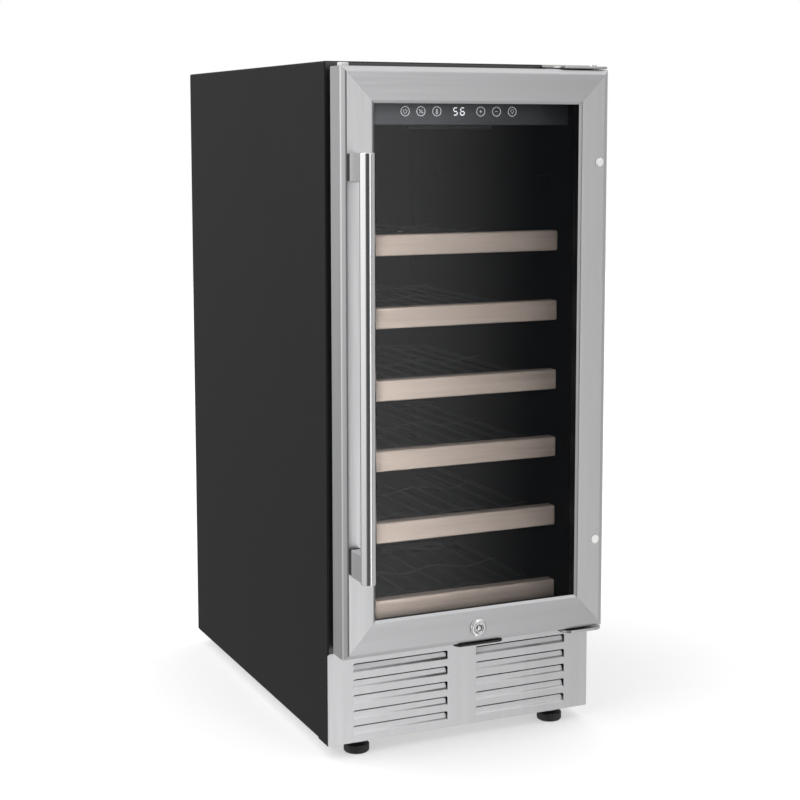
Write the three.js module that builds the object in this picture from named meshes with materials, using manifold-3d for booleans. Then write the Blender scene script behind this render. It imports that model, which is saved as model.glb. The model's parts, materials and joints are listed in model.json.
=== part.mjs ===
// Free-standing 15-inch wine cooler: a foamed steel cabinet on levelling feet, a stainless framed
// glass door with a bar handle and a key lock, six slide-out shelves with wooden fronts, and the
// refrigeration parts behind the louvred kick plate and the rear cover.
//
// Millimetres, +Z up, +X to the right of someone facing the door, +Y towards the back. The origin is
// the centre of the footprint on the floor. Inside the groups, y is counted from the cabinet's front
// plane towards the back and z from the cabinet's underside.

import * as THREE from 'three';
import { mergeVertices } from 'three/addons/utils/BufferGeometryUtils.js';
import Module from 'manifold-3d';

const wasm = await Module();
wasm.setup();

// ---------------------------------------------------------------------------- driving dimensions

const GAP = 0.3; // clearance left between pieces that touch

const HALF_WIDTH = 187.5; // cabinet, 375 wide
const HEIGHT = 856; // cabinet without its feet
const DEPTH = 548; // cabinet without the door
const SHEET = 1.2; // painted steel of the cabinet
const FOOT_DROP = 18; // floor to the cabinet's underside
const FRONT_TO_CENTRE = 223.5; // cabinet's front plane to the middle of the whole depth

const KICK = { height: 120, sheet: 1 };
const LOUVRE = { inner: 20.5, outer: 152.5, height: 11.4, tops: [103.3, 82.6, 62.2, 42, 22], lean: 4 };

const DOOR = { halfWidth: 184, bottom: 124, top: 849, back: -10.7, front: -46.7 };
const PANE = { halfWidth: 141, bottom: 170, top: 805 }; // glass that shows inside the frame
const DOOR_SHEET = 1.2;
const PIVOT = { x: 172.5, y: -23.5 }; // hinge axis; the unused bushing is its mirror image

const MOUTH = { halfWidth: 158, bottom: 140.5, top: 832.5 }; // opening of the liner
const FLANGE = { side: 17, top: 10.5, bottom: 14.5 }; // width of the liner's rim round its mouth
const LINER_WALL = 2;
const CAVITY_BACK = 503;
const STEP = { y: 348, z: 235 }; // the liner steps over the compressor here
const DECK = { frontZ: 111, wallY: 372, rearZ: 207, sheet: 1 }; // steel between foam and machinery

const HANDLE = { x: -170, y: -91.5, radius: 9.5, bottom: 231, top: 747, postWidth: 15, postHeight: 34 };
const LOCK = { x: 0, z: 144, flange: 11.5, barrel: 9.3, plug: 6.2, camReach: 32 };
const STRIKE = { left: -29, right: 39, front: -44, back: 1, bottom: 120.4, top: 123.4 };
const HINGE = { left: { lower: 128, upper: 110 }, front: -44, lower: [117.5, 121.3], bore: 4.2 };

const SHELF_TOPS = [642.5, 550.5, 458.3, 368, 274.8, 173.8];
const SHELF = { halfWidth: 148.5, y: 20, thickness: 18, height: 26.5, back: 455, shortBack: 335 };
const LEDGE_BELOW_TOP = 21.5; // ledge top under the top edge of its shelf's front
const SPARE_LEDGE_TOP = 713;
const LEDGE = { reach: 8.5, thickness: 9, length: 30, front: 60, rear: 390, shortRear: 290 };
const RACK_HALF_WIDTH = 152;

const HOUSING = { halfWidth: 157.5, front: 12, back: 62, bottom: 779.5, wall: 3.5 }; // control strip
const DUCT = { halfWidth: 140, front: 469, back: 502, bottom: 250, top: 800, wall: 2.5 };
const EVAPORATOR = { halfWidth: 110, front: 476, back: 499, bottom: 320, top: 600 };
const COMPRESSOR = { x: -80, y: 450, z: 1.9 };
const PIPE = { x: 18, y: 487, radius: 3.5 }; // rises through the deck to the evaporator
const INLET = { x: 125, z: 76, halfWidth: 25, halfHeight: 16 };
const FOOT = { pad: 16.5, stud: 4.8, studTop: 30 };
const FOOT_PLACES = [
  ['front_left', -141, 19],
  ['front_right', 141, 19],
  ['rear_left', -141, 520],
  ['rear_right', 141, 520],
];

// ------------------------------------------------------------------------------------- materials

const paint = (color, roughness, metalness = 0) => (
  new THREE.MeshStandardMaterial({ color, roughness, metalness })
);

const blackPaint = paint(0x333333, 0.45, 0.3);
const stainless = paint(0xb9b9bc, 0.32, 1);
const polished = paint(0xd8d8da, 0.12, 1);
const zinc = paint(0xa8a9a8, 0.4, 1);
const blackPlastic = paint(0x161617, 0.5);
const whitePlastic = paint(0xe9e9e6, 0.45);
const rubber = paint(0x121212, 0.75);
const tintedGlass = paint(0x2a2b2e, 0.05, 0.1);
const linerPlastic = paint(0x1d1d1f, 0.55);
const foam = paint(0xd9c58c, 0.9);
const beech = paint(0xb08d6c, 0.5);
const wire = paint(0x2a2a2b, 0.4, 0.6);
const copper = paint(0xb8734a, 0.35, 1);
const castBlack = paint(0x1a1b1c, 0.5, 0.4);
const circuitGreen = paint(0x1f5a3a, 0.6);

// --------------------------------------------------------------------------------------- solids

function toSolid(geometry) {
  const bare = geometry.clone();
  bare.deleteAttribute('normal');
  bare.deleteAttribute('uv');
  const merged = mergeVertices(bare, 1e-4);
  const mesh = new wasm.Mesh({
    numProp: 3,
    vertProperties: new Float32Array(merged.attributes.position.array),
    triVerts: new Uint32Array(merged.index.array),
  });
  return new wasm.Manifold(mesh);
}

function toGeometry(solid) {
  const mesh = solid.getMesh();
  const geometry = new THREE.BufferGeometry();
  const positions = new Float32Array(mesh.vertProperties);
  geometry.setAttribute('position', new THREE.BufferAttribute(positions, 3));
  geometry.setIndex(new THREE.BufferAttribute(new Uint32Array(mesh.triVerts), 1));
  geometry.computeVertexNormals();
  return geometry;
}

const join = (...pieces) => toGeometry(
  pieces.map(toSolid).reduce((whole, piece) => whole.add(piece)),
);
const cut = (body, ...tools) => toGeometry(
  tools.map(toSolid).reduce((rest, tool) => rest.subtract(tool), toSolid(body)),
);

function box([x0, x1], [y0, y1], [z0, z1]) {
  const geometry = new THREE.BoxGeometry(x1 - x0, y1 - y0, z1 - z0);
  return geometry.translate((x0 + x1) / 2, (y0 + y1) / 2, (z0 + z1) / 2);
}

// The two ends of a span that lies on the left (side -1) or the right (side 1) of the middle.
const span = (side, near, far) => [side * near, side * far].sort((a, b) => a - b);

// The turned shapes stand on the z axis: profile is a list of [radius, z] from bottom to top.
function turned(profile, segments = 32) {
  return new THREE.LatheGeometry(profile.map(([r, z]) => new THREE.Vector2(r, z)), segments)
    .rotateX(Math.PI / 2);
}

const rod = (radius, z0, z1, segments = 32) => (
  turned([[0, z0], [radius, z0], [radius, z1], [0, z1]], segments)
);

// Turns a shape that stands on the z axis so that its top points to -y, out of the door.
const facingOut = (geometry) => geometry.rotateX(Math.PI / 2);

const flat = (points) => new THREE.Shape(points.map(([a, b]) => new THREE.Vector2(a, b)));

function prism(shape, from, to, toAxes) {
  const options = { depth: to - from, bevelEnabled: false, curveSegments: 8 };
  return new THREE.ExtrudeGeometry(shape, options).translate(0, 0, from).applyMatrix4(toAxes);
}

const X = new THREE.Vector3(1, 0, 0);
const Y = new THREE.Vector3(0, 1, 0);
const Z = new THREE.Vector3(0, 0, 1);
const sideways = new THREE.Matrix4().makeBasis(Y, Z, X); // outline in y, z, extruded along x
const facing = new THREE.Matrix4().makeBasis(X, Z, Y.clone().negate()); // outline in x, z, along -y
const upright = new THREE.Matrix4(); // outline in x, y, extruded along z

const alongX = (shape, x0, x1) => prism(shape, x0, x1, sideways);
const alongY = (shape, y0, y1) => prism(shape, -y1, -y0, facing);
const alongZ = (shape, z0, z1) => prism(shape, z0, z1, upright);

function roundedRectangle([x0, x1], [y0, y1], radius) {
  const shape = new THREE.Shape();
  shape.moveTo(x0 + radius, y0);
  shape.absarc(x1 - radius, y0 + radius, radius, -Math.PI / 2, 0);
  shape.absarc(x1 - radius, y1 - radius, radius, 0, Math.PI / 2);
  shape.absarc(x0 + radius, y1 - radius, radius, Math.PI / 2, Math.PI);
  shape.absarc(x0 + radius, y0 + radius, radius, Math.PI, 1.5 * Math.PI);
  return shape;
}

// A frame with mitred corners: its section is a list of [rectangle, inset, y], where inset is
// measured inwards from that rectangle's sides.
function mitredFrame(section) {
  const positions = [];
  for (const [sideX, sideZ] of [[-1, 0], [1, 0], [1, 1], [-1, 1]]) {
    for (const [rectangle, inset, y] of section) {
      const x = sideX * (rectangle.halfWidth - inset);
      const z = sideZ ? rectangle.top - inset : rectangle.bottom + inset;
      positions.push(x, y, z);
    }
  }
  const count = section.length;
  const index = [];
  for (let corner = 0; corner < 4; corner += 1) {
    for (let point = 0; point < count; point += 1) {
      const a = corner * count + point;
      const b = corner * count + ((point + 1) % count);
      const c = ((corner + 1) % 4) * count + ((point + 1) % count);
      const d = ((corner + 1) % 4) * count + point;
      index.push(a, c, b, a, d, c);
    }
  }
  const geometry = new THREE.BufferGeometry();
  geometry.setAttribute('position', new THREE.Float32BufferAttribute(positions, 3));
  geometry.setIndex(index);
  geometry.computeVertexNormals();
  return geometry;
}

// A path through points that are given in order, whatever the distances between them.
class Route extends THREE.Curve {
  constructor(points) {
    super();
    this.points = points;
  }

  getPoint(t, target = new THREE.Vector3()) {
    const place = t * (this.points.length - 1);
    const i = Math.min(Math.floor(place), this.points.length - 2);
    return target.lerpVectors(this.points[i], this.points[i + 1], place - i);
  }

  getUtoTmapping(u) {
    return u;
  }
}

// A round tube along straight runs between the given corners, with each corner bent.
function tube(cornerList, radius, bend) {
  const corners = cornerList.map((corner) => new THREE.Vector3(...corner));
  const points = [corners[0]];
  for (let i = 1; i < corners.length - 1; i += 1) {
    const before = corners[i].clone().sub(corners[i - 1]).setLength(bend);
    const after = corners[i + 1].clone().sub(corners[i]).setLength(bend);
    const turn = new THREE.QuadraticBezierCurve3(
      corners[i].clone().sub(before),
      corners[i],
      corners[i].clone().add(after),
    );
    points.push(...turn.getPoints(3));
  }
  points.push(corners[corners.length - 1]);
  const section = new THREE.Shape().absarc(0, 0, radius, 0, 2 * Math.PI);
  return new THREE.ExtrudeGeometry(section, {
    extrudePath: new Route(points),
    steps: points.length - 1,
    curveSegments: 4,
  });
}

function part(name, material, geometry, [x, y, z] = [0, 0, 0]) {
  const mesh = new THREE.Mesh(geometry, material);
  mesh.name = name;
  mesh.position.set(x, y, z);
  return mesh;
}

const group = (...members) => new THREE.Group().add(...members);

// --------------------------------------------------------------------------------------- cabinet

function cabinetShell() {
  const outside = box([-HALF_WIDTH, HALF_WIDTH], [0, DEPTH], [0, HEIGHT]);
  const inner = HALF_WIDTH - SHEET;
  const rim = MOUTH.halfWidth + FLANGE.side;
  const beyond = HALF_WIDTH + 1;
  const hollow = box([-inner, inner], [SHEET, DEPTH + 1], [-1, HEIGHT - SHEET]);
  const opening = box([-rim, rim], [-1, SHEET + 1], [-1, MOUTH.top + FLANGE.top]);
  const kickRecess = box([-beyond, beyond], [-1, KICK.sheet + GAP], [-1, KICK.height + GAP]);
  return cut(outside, hollow, opening, kickRecess);
}

function linerSideOutline(wall) {
  return flat([
    [0, MOUTH.bottom - wall],
    [STEP.y + wall, MOUTH.bottom - wall],
    [STEP.y + wall, STEP.z - wall],
    [CAVITY_BACK + wall, STEP.z - wall],
    [CAVITY_BACK + wall, MOUTH.top + wall],
    [0, MOUTH.top + wall],
  ]);
}

function cavityBlock(wall) {
  const half = MOUTH.halfWidth + wall;
  return alongX(linerSideOutline(wall), -half, half);
}

function pipeHole(clearance) {
  return rod(PIPE.radius + clearance, 150, 300, 12).translate(PIPE.x, PIPE.y, 0);
}

// Two ledges on each side wall for every shelf, and a spare pair above the top one.
function shelfLedges() {
  const lowest = SHELF_TOPS.length - 1;
  const levels = SHELF_TOPS.map((top, i) => ({
    top: top - LEDGE_BELOW_TOP,
    rear: i === lowest ? LEDGE.shortRear : LEDGE.rear,
  }));
  levels.push({ top: SPARE_LEDGE_TOP, rear: LEDGE.rear });
  const ledges = [];
  for (const { top, rear } of levels) {
    for (const start of [LEDGE.front, rear]) {
      for (const side of [-1, 1]) {
        const xs = span(side, MOUTH.halfWidth - LEDGE.reach, MOUTH.halfWidth + 1);
        ledges.push(box(xs, [start, start + LEDGE.length], [top - LEDGE.thickness, top]));
      }
    }
  }
  return ledges;
}

function innerLiner() {
  const half = MOUTH.halfWidth;
  const rim = half + FLANGE.side - GAP;
  const rimHeights = [MOUTH.bottom - FLANGE.bottom, MOUTH.top + FLANGE.top - GAP];
  const flange = box([-rim, rim], [0, LINER_WALL], rimHeights);
  const mouth = box([-half, half], [-1, LINER_WALL + 1], [MOUTH.bottom, MOUTH.top]);
  const hollow = cavityBlock(0).translate(0, -0.5, 0);
  const shell = cut(join(cavityBlock(LINER_WALL), flange), hollow, mouth, pipeHole(1));
  return join(shell, ...shelfLedges());
}

function foamInsulation() {
  const outerX = HALF_WIDTH - SHEET - GAP;
  const front = LINER_WALL + GAP;
  const back = DEPTH - SHEET - GAP;
  const bottom = DECK.frontZ + DECK.sheet + GAP;
  const rearBottom = DECK.rearZ + DECK.sheet + GAP;
  const outline = flat([
    [front + GAP, bottom],
    [DECK.wallY - GAP, bottom],
    [DECK.wallY - GAP, rearBottom],
    [back, rearBottom],
    [back, HEIGHT - SHEET - GAP],
    [front + GAP, HEIGHT - SHEET - GAP],
  ]);
  return cut(alongX(outline, -outerX, outerX), cavityBlock(LINER_WALL + GAP), pipeHole(1.5));
}

// Folded steel plate that closes the foam off from the compressor and condenser below it.
function machineDeck() {
  const edge = HALF_WIDTH - SHEET - GAP;
  const { frontZ, wallY, rearZ, sheet } = DECK;
  const front = KICK.sheet + GAP;
  const lip = MOUTH.bottom - FLANGE.bottom - GAP;
  const apron = frontZ - 5; // the front edge is folded down to here, above the louvres
  const outline = flat([
    [front, apron],
    [front + sheet, apron],
    [front + sheet, frontZ],
    [wallY + sheet, frontZ],
    [wallY + sheet, rearZ],
    [DEPTH - SHEET - GAP, rearZ],
    [DEPTH - SHEET - GAP, rearZ + sheet],
    [wallY, rearZ + sheet],
    [wallY, frontZ + sheet],
    [front + sheet, frontZ + sheet],
    [front + sheet, lip],
    [front, lip],
  ]);
  const rim = MOUTH.halfWidth + FLANGE.side - GAP;
  const sideCuts = [-1, 1].map((side) => (
    box(span(side, rim, edge + 1), [0, SHEET + GAP], [apron - 1, lip + 1])
  ));
  return cut(alongX(outline, -edge, edge), ...sideCuts, pipeHole(1));
}

function basePan() {
  const edge = HALF_WIDTH - SHEET - GAP;
  const front = LOUVRE.lean + KICK.sheet + 3;
  const back = DEPTH - SHEET - GAP;
  const wall = 1.5;
  const rim = 16;
  const holes = FOOT_PLACES.map(([, x, y]) => rod(FOOT.stud + 0.5, -1, 3, 16).translate(x, y, 0));
  const tray = box([-edge + wall, edge - wall], [front + wall, back - wall], [wall, rim + 1]);
  return cut(box([-edge, edge], [front, back], [0, rim]), tray, ...holes);
}

// The louvres are tongues hinged on their lower edges that lean inwards as they rise.
function kickPlate() {
  const { sheet, height } = KICK;
  const outline = roundedRectangle([-HALF_WIDTH, HALF_WIDTH], [-8, height], 4);
  const squareFoot = box([-HALF_WIDTH - 1, HALF_WIDTH + 1], [-1, sheet + 1], [-9, 0]);
  const slots = [];
  const tongues = [];
  for (const side of [-1, 1]) {
    const xs = span(side, LOUVRE.inner, LOUVRE.outer);
    for (const top of LOUVRE.tops) {
      const bottom = top - LOUVRE.height;
      slots.push(box(xs, [-1, sheet + 1], [bottom, top]));
      const tongue = flat([
        [0.1, bottom - 0.4],
        [sheet, bottom - 0.4],
        [LOUVRE.lean + sheet, top - 0.8],
        [LOUVRE.lean, top - 0.2],
        [0.1, bottom + 0.2],
      ]);
      tongues.push(alongX(tongue, xs[0], xs[1] - 1.5));
    }
  }
  return join(cut(alongY(outline, 0, sheet), squareFoot, ...slots), ...tongues);
}

// Thin catch that reaches out under the door over the kick plate, for the lock's cam to drop into.
function lockStrike() {
  const { left, right, front, back, bottom, top } = STRIKE;
  const outline = roundedRectangle([left, right], [front, back + 12], 8);
  const squareBack = box([left - 1, right + 1], [back, back + 13], [bottom - 1, top + 1]);
  const camSlot = box([-6, 28], [-20.5, -13], [bottom - 1, top + 1]);
  return cut(alongZ(outline, bottom, top), squareBack, camSlot);
}

function machineCover() {
  const slotLength = 68;
  const sheet = box([-180, 180], [DEPTH - SHEET, DEPTH], [18, DECK.rearZ - 2]);
  const through = [DEPTH - 3, DEPTH + 1];
  const slots = [];
  for (const x0 of [-165, -85]) {
    for (let row = 0; row < 8; row += 1) {
      const z0 = 45 + 17 * row;
      slots.push(box([x0, x0 + slotLength], through, [z0, z0 + 6]));
    }
  }
  const { x, z, halfWidth, halfHeight } = INLET;
  const opening = box(
    [x - halfWidth - 0.5, x + halfWidth + 0.5],
    through,
    [z - halfHeight - 0.5, z + halfHeight + 0.5],
  );
  return cut(sheet, ...slots, opening);
}

function rearPanel() {
  const edge = HALF_WIDTH - SHEET - GAP;
  return box([-edge, edge], [DEPTH - SHEET, DEPTH], [DECK.rearZ, HEIGHT - SHEET - GAP]);
}

// Flanged well with three flat pins; its own origin is the middle of its opening.
function powerInlet() {
  const { halfWidth, halfHeight } = INLET;
  const flange = box([-halfWidth, halfWidth], [-6, -0.5], [-halfHeight, halfHeight]);
  const well = box([-halfWidth + 5, halfWidth - 5], [-30, -3], [-halfHeight + 3, halfHeight - 3]);
  const socket = box([-halfWidth + 8, halfWidth - 8], [-25, 1], [-halfHeight + 6, halfHeight - 6]);
  const pins = [-8, 0, 8].map((x) => box([x - 1, x + 1], [-27, -9], [-3, 3]));
  return join(cut(join(flange, well), socket), ...pins);
}

// ------------------------------------------------------------------------------ inside the cavity

function controlPanel() {
  const { halfWidth, front, back, bottom, wall } = HOUSING;
  const top = MOUTH.top - GAP;
  const inner = halfWidth - wall;
  const hollow = box([-inner, inner], [front + 3, back + 1], [bottom + 2.5, top - 3.2]);
  return cut(box([-halfWidth, halfWidth], [front, back], [bottom, top]), hollow);
}

// Cover over the evaporator, with the fan's outlet near its top and an intake near its bottom.
function airDuctCover() {
  const { halfWidth, front, back, bottom, top, wall } = DUCT;
  const inner = halfWidth - 2;
  const tray = box([-halfWidth, halfWidth], [front, back], [bottom, top]);
  const hollow = box([-inner, inner], [front + wall, back + 1], [bottom + 2, top - 2]);
  const through = [front - 1, front + wall + 0.5];
  const outletHalfWidths = [22, 34, 38, 38, 34, 22]; // together they follow the fan's circle
  const grille = [];
  outletHalfWidths.forEach((half, row) => {
    const outlet = 650 + 15 * row;
    const intake = 262 + 9 * row;
    grille.push(box([-half, half], through, [outlet, outlet + 8]));
    grille.push(box([-100, 100], through, [intake, intake + 5]));
  });
  return cut(tray, hollow, ...grille, pipeHole(1));
}

// Finned block with the ends of its tubes bent round at both sides.
function evaporator() {
  const { halfWidth, front, back, bottom, top } = EVAPORATOR;
  const block = box([-halfWidth, halfWidth], [front, back], [bottom, top]);
  const grooves = [];
  for (let fin = 0; fin < 10; fin += 1) {
    const x0 = 9 - halfWidth + 20.6 * fin;
    grooves.push(box([x0, x0 + 15], [front - 1, front + 5], [bottom - 5, top + 5]));
  }
  const bends = [];
  for (const side of [-1, 1]) {
    for (let turn = 0; turn < 4; turn += 1) {
      const z0 = bottom + 20 + 66 * turn;
      const ys = [front + 8, front + 16];
      bends.push(box(span(side, halfWidth - 2, halfWidth + 10), ys, [z0, z0 + 34]));
    }
  }
  return join(cut(block, ...grooves), ...bends);
}

// A square fan frame on the y axis: a ring with a hub for the motor, held by three struts.
function fanFrame(size, depth, bladeRadius, hubRadius) {
  const half = size / 2;
  const body = alongY(roundedRectangle([-half, half], [-half, half], 6), 0, depth);
  const bore = facingOut(rod(bladeRadius + 2.5, -depth - 1, 1, 28));
  const hub = facingOut(rod(hubRadius, -depth, -depth + 5, 16));
  const struts = [0, 1, 2].map((i) => (
    box([-3, 3], [depth - 4, depth], [0, bladeRadius + 4]).rotateY((i * 2 * Math.PI) / 3)
  ));
  return join(cut(body, bore), hub, ...struts);
}

function fanRotor(bladeRadius, hubRadius, length, blades) {
  const hub = facingOut(rod(hubRadius, -length, 0, 16));
  const halfChord = hubRadius * 0.55;
  const pitch = 0.6;
  const wings = [];
  for (let i = 0; i < blades; i += 1) {
    const blade = box([-halfChord, halfChord], [-0.8, 0.8], [hubRadius - 2, bladeRadius]);
    blade.rotateZ(pitch).translate(0, length / 2, 0).rotateY((i * 2 * Math.PI) / blades);
    wings.push(blade);
  }
  return join(hub, ...wings);
}

// -------------------------------------------------------------------------------- refrigeration

function compressor() {
  const dome = turned([
    [0, 8], [52, 8], [68, 22], [72, 45], [72, 90], [66, 116], [46, 134], [0, 141],
  ], 24);
  const plate = box([-92, 92], [-56, 56], [6, 10]);
  const grommets = [[-80, -44], [80, -44], [-80, 44], [80, 44]].map(([x, y]) => (
    rod(10, 0, 12, 16).translate(x, y, 0)
  ));
  return join(dome, plate, ...grommets);
}

// Bare serpentine tube: runs along x, stacked upwards, in two layers.
function condenserCoil() {
  const points = [];
  for (const [layer, y] of [70, 96].entries()) {
    for (let i = 0; i < 5; i += 1) {
      const row = layer === 0 ? i : 4 - i;
      const z = 24 + 17 * row;
      const ends = i % 2 === layer % 2 ? [-160, 5] : [5, -160];
      points.push([ends[0], y, z], [ends[1], y, z]);
    }
  }
  return tube(points, 3.2, 7);
}

const filterDrier = () => turned([
  [0, 0], [3, 0], [3, 12], [9, 20], [9, 84], [3, 92], [3, 104], [0, 104],
], 20);

const refrigerantPipe = () => tube([
  [COMPRESSOR.x + 71.5, COMPRESSOR.y, 100],
  [PIPE.x, COMPRESSOR.y, 100],
  [PIPE.x, PIPE.y, 100],
  [PIPE.x, PIPE.y, 318],
], PIPE.radius, 12);

const dripTray = () => cut(
  box([-75, 75], [-50, 50], [0, 18]),
  box([-73, 73], [-48, 48], [2, 20]),
);

// ------------------------------------------------------------------------------------------ door

const PLUG = { x: 170, hole: 4.4, heights: [732.5, 241.7] }; // caps for a handle on the other side
const BUSHING = { bore: 4, barrel: 6.1, depth: 15 };

const uprightHole = (radius, x, z0, z1) => rod(radius, z0, z1, 24).translate(x, PIVOT.y, 0);
const lockHole = (radius) => facingOut(rod(radius, 8, 60, 32)).translate(LOCK.x, 0, LOCK.z);
const camPath = () => box([-8, 36], [-19, -12], [DOOR.bottom - 1, LOCK.z + 8]);
const plugHoles = () => PLUG.heights.map((z) => (
  facingOut(rod(PLUG.hole, 34, 60, 16)).translate(PLUG.x, 0, z)
));

function doorFrame() {
  const channel = mitredFrame([
    [DOOR, 0, DOOR.back],
    [DOOR, 0, -42],
    [DOOR, 6, DOOR.front],
    [PANE, -3.5, DOOR.front],
    [PANE, 0, -43.7],
    [PANE, -0.7, -43],
    [PANE, -3.9, DOOR.front + DOOR_SHEET],
    [DOOR, 6.4, DOOR.front + DOOR_SHEET],
    [DOOR, DOOR_SHEET, -41.4],
    [DOOR, DOOR_SHEET, DOOR.back],
  ]);
  return cut(
    channel,
    uprightHole(6, PIVOT.x, DOOR.bottom - 2, DOOR.top + 2),
    uprightHole(BUSHING.barrel + GAP, -PIVOT.x, DOOR.top - 4, DOOR.top + 2),
    lockHole(LOCK.barrel + GAP),
    camPath(),
    ...plugHoles(),
  );
}

function doorInnerFrame() {
  const ring = mitredFrame([
    [DOOR, 1.5, -11],
    [DOOR, 1.5, -41.1],
    [DOOR, 6.7, -45.2],
    [PANE, -13.4, -45.2],
    [PANE, -13.4, -22.6],
    [PANE, -8.6, -22.6],
    [PANE, -8.6, -18],
    [PANE, -11, -11],
  ]);
  return cut(
    ring,
    uprightHole(4.6, PIVOT.x, DOOR.bottom - 2, DOOR.bottom + 20),
    uprightHole(4.6, PIVOT.x, DOOR.top - 22, DOOR.top + 2),
    uprightHole(BUSHING.barrel + GAP, -PIVOT.x, DOOR.top - BUSHING.depth - 3, DOOR.top + 2),
    lockHole(LOCK.barrel + GAP),
    camPath(),
    ...plugHoles(),
  );
}

const pane = (y0, y1) => box(
  [-PANE.halfWidth - 13, PANE.halfWidth + 13],
  [y0, y1],
  [PANE.bottom - 13, PANE.top + 13],
);

const glassSpacer = () => mitredFrame([
  [PANE, -9, -38.4],
  [PANE, -3.5, -38.4],
  [PANE, -3.5, -27.2],
  [PANE, -9, -27.2],
]);

function doorGasket() {
  const inset = DOOR.halfWidth - PIVOT.x;
  const width = 14;
  return mitredFrame([
    [DOOR, inset, -GAP],
    [DOOR, inset, -5],
    [DOOR, inset + 2.5, -7],
    [DOOR, inset + 1, -10.6],
    [DOOR, inset + width - 1, -10.6],
    [DOOR, inset + width - 2.5, -7],
    [DOOR, inset + width, -5],
    [DOOR, inset + width, -GAP],
  ]);
}

function handleBar() {
  const { radius, bottom, top } = HANDLE;
  const edge = 1;
  return turned([
    [0, bottom],
    [radius - edge, bottom],
    [radius, bottom + edge],
    [radius, top - edge],
    [radius - edge, top],
    [0, top],
  ], 40);
}

// Rectangular post that ends in a saddle against the round bar.
function handlePost() {
  const half = HANDLE.postWidth / 2;
  const toBar = DOOR.front - HANDLE.y;
  const halfHeight = HANDLE.postHeight / 2;
  const outline = roundedRectangle([-half, half], [-halfHeight, halfHeight], 1.5);
  const body = alongY(outline, HANDLE.y - DOOR.front, -GAP);
  return cut(body, rod(HANDLE.radius + GAP, -30, 30, 40).translate(0, -toBar, 0));
}

const holePlug = () => facingOut(turned([
  [0, -10], [3.2, -10], [4, -7], [4, GAP], [5.8, GAP], [5.4, 1.6], [3.4, 2.8], [0, 3.2],
], 24));

function spareHingeBushing() {
  const { bore, barrel, depth } = BUSHING;
  return turned([
    [bore, -depth],
    [barrel, -depth],
    [barrel, GAP],
    [6.8, GAP],
    [6.8, 3.6],
    [6, 4.5],
    [4.6, 4.5],
    [bore, 3.8],
    [bore, -depth],
  ], 24);
}

function lockBody() {
  const { flange, barrel, plug } = LOCK;
  const front = -DOOR.front;
  return facingOut(turned([
    [plug + 0.4, 20],
    [barrel, 20],
    [barrel, front + GAP],
    [flange, front + GAP],
    [flange, front + 1.6],
    [flange - 1.6, front + 3],
    [plug + 0.4, front + 3],
    [plug + 0.4, 20],
  ], 32));
}

// The keyway is a ring round a small centre pin, as for a tubular key.
function lockPlug() {
  const { plug } = LOCK;
  const front = -DOOR.front + 3.2;
  const keyway = front - 7;
  const body = turned([
    [0, 13.6],
    [2.6, 13.6],
    [2.6, 18],
    [plug, 18],
    [plug, front],
    [4.6, front],
    [4.6, keyway],
    [3, keyway],
    [3, front],
    [0, front],
  ], 28);
  return facingOut(body);
}

function lockCam() {
  const reach = LOCK.camReach;
  const outline = roundedRectangle([-6, reach], [-5, 5], 4);
  return cut(alongY(outline, -17.7, -14.7), facingOut(rod(2.9, 12, 20, 16)));
}

// ---------------------------------------------------------------------------------------- hinges

function hingeLeaf(left, bottom, top) {
  const plate = alongZ(roundedRectangle([left, HALF_WIDTH], [HINGE.front, 16], 14), bottom, top);
  const squareBack = box([left - 1, HALF_WIDTH + 1], [-GAP, 17], [bottom - 1, top + 1]);
  return cut(plate, squareBack, uprightHole(HINGE.bore, PIVOT.x, bottom - 1, top + 1));
}

const hingeLower = () => hingeLeaf(HINGE.left.lower, ...HINGE.lower);

function hingeUpper() {
  const bottom = DOOR.top + 1.2;
  const tab = box([HINGE.left.upper, HALF_WIDTH], [-3.3, -GAP], [bottom, HEIGHT]);
  return join(hingeLeaf(HINGE.left.upper, bottom, bottom + 3), tab);
}

// Each pin is riveted into its bracket; the lower one carries the door on its collar.
function hingePinLower() {
  const [bottom, top] = HINGE.lower;
  const collar = [top + GAP, DOOR.bottom - 0.4];
  return turned([
    [0, bottom - 1],
    [3.9, bottom - 1],
    [3.9, collar[0]],
    [5.6, collar[0]],
    [5.6, collar[1]],
    [3.9, collar[1]],
    [3.9, DOOR.bottom + 16],
    [3, DOOR.bottom + 17],
    [0, DOOR.bottom + 17],
  ], 24);
}

function hingePinUpper() {
  const head = [DOOR.top + 4.5, HEIGHT - 0.4];
  return turned([
    [0, DOOR.top - 16],
    [3, DOOR.top - 16],
    [3.9, DOOR.top - 15],
    [3.9, head[0]],
    [5.4, head[0]],
    [5, head[1]],
    [0, head[1]],
  ], 24);
}

// --------------------------------------------------------------------------------------- shelves

const shelfFront = () => alongX(
  roundedRectangle([0, SHELF.thickness], [-SHELF.height, 0], 2),
  -SHELF.halfWidth,
  SHELF.halfWidth,
);

// Open grid: six bars from front to back, tied together at both ends and in the middle.
function shelfRack(back) {
  const bottom = GAP - LEDGE_BELOW_TOP;
  const bar = 6;
  const front = SHELF.thickness + GAP;
  const end = back - SHELF.y;
  const thickness = 7;
  const half = RACK_HALF_WIDTH;
  const bays = 5;
  const pitch = (2 * half - bar) / bays;
  const middle = (front + end) / 2;
  const openings = [];
  for (let bay = 0; bay < bays; bay += 1) {
    const x0 = -half + bar + bay * pitch;
    for (const ys of [[front + bar, middle - bar / 2], [middle + bar / 2, end - bar]]) {
      openings.push(box([x0, x0 + pitch - bar], ys, [bottom - 1, bottom + thickness + 1]));
    }
  }
  return cut(box([-half, half], [front, end], [bottom, bottom + thickness]), ...openings);
}

// ------------------------------------------------------------------------------------------ feet

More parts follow.
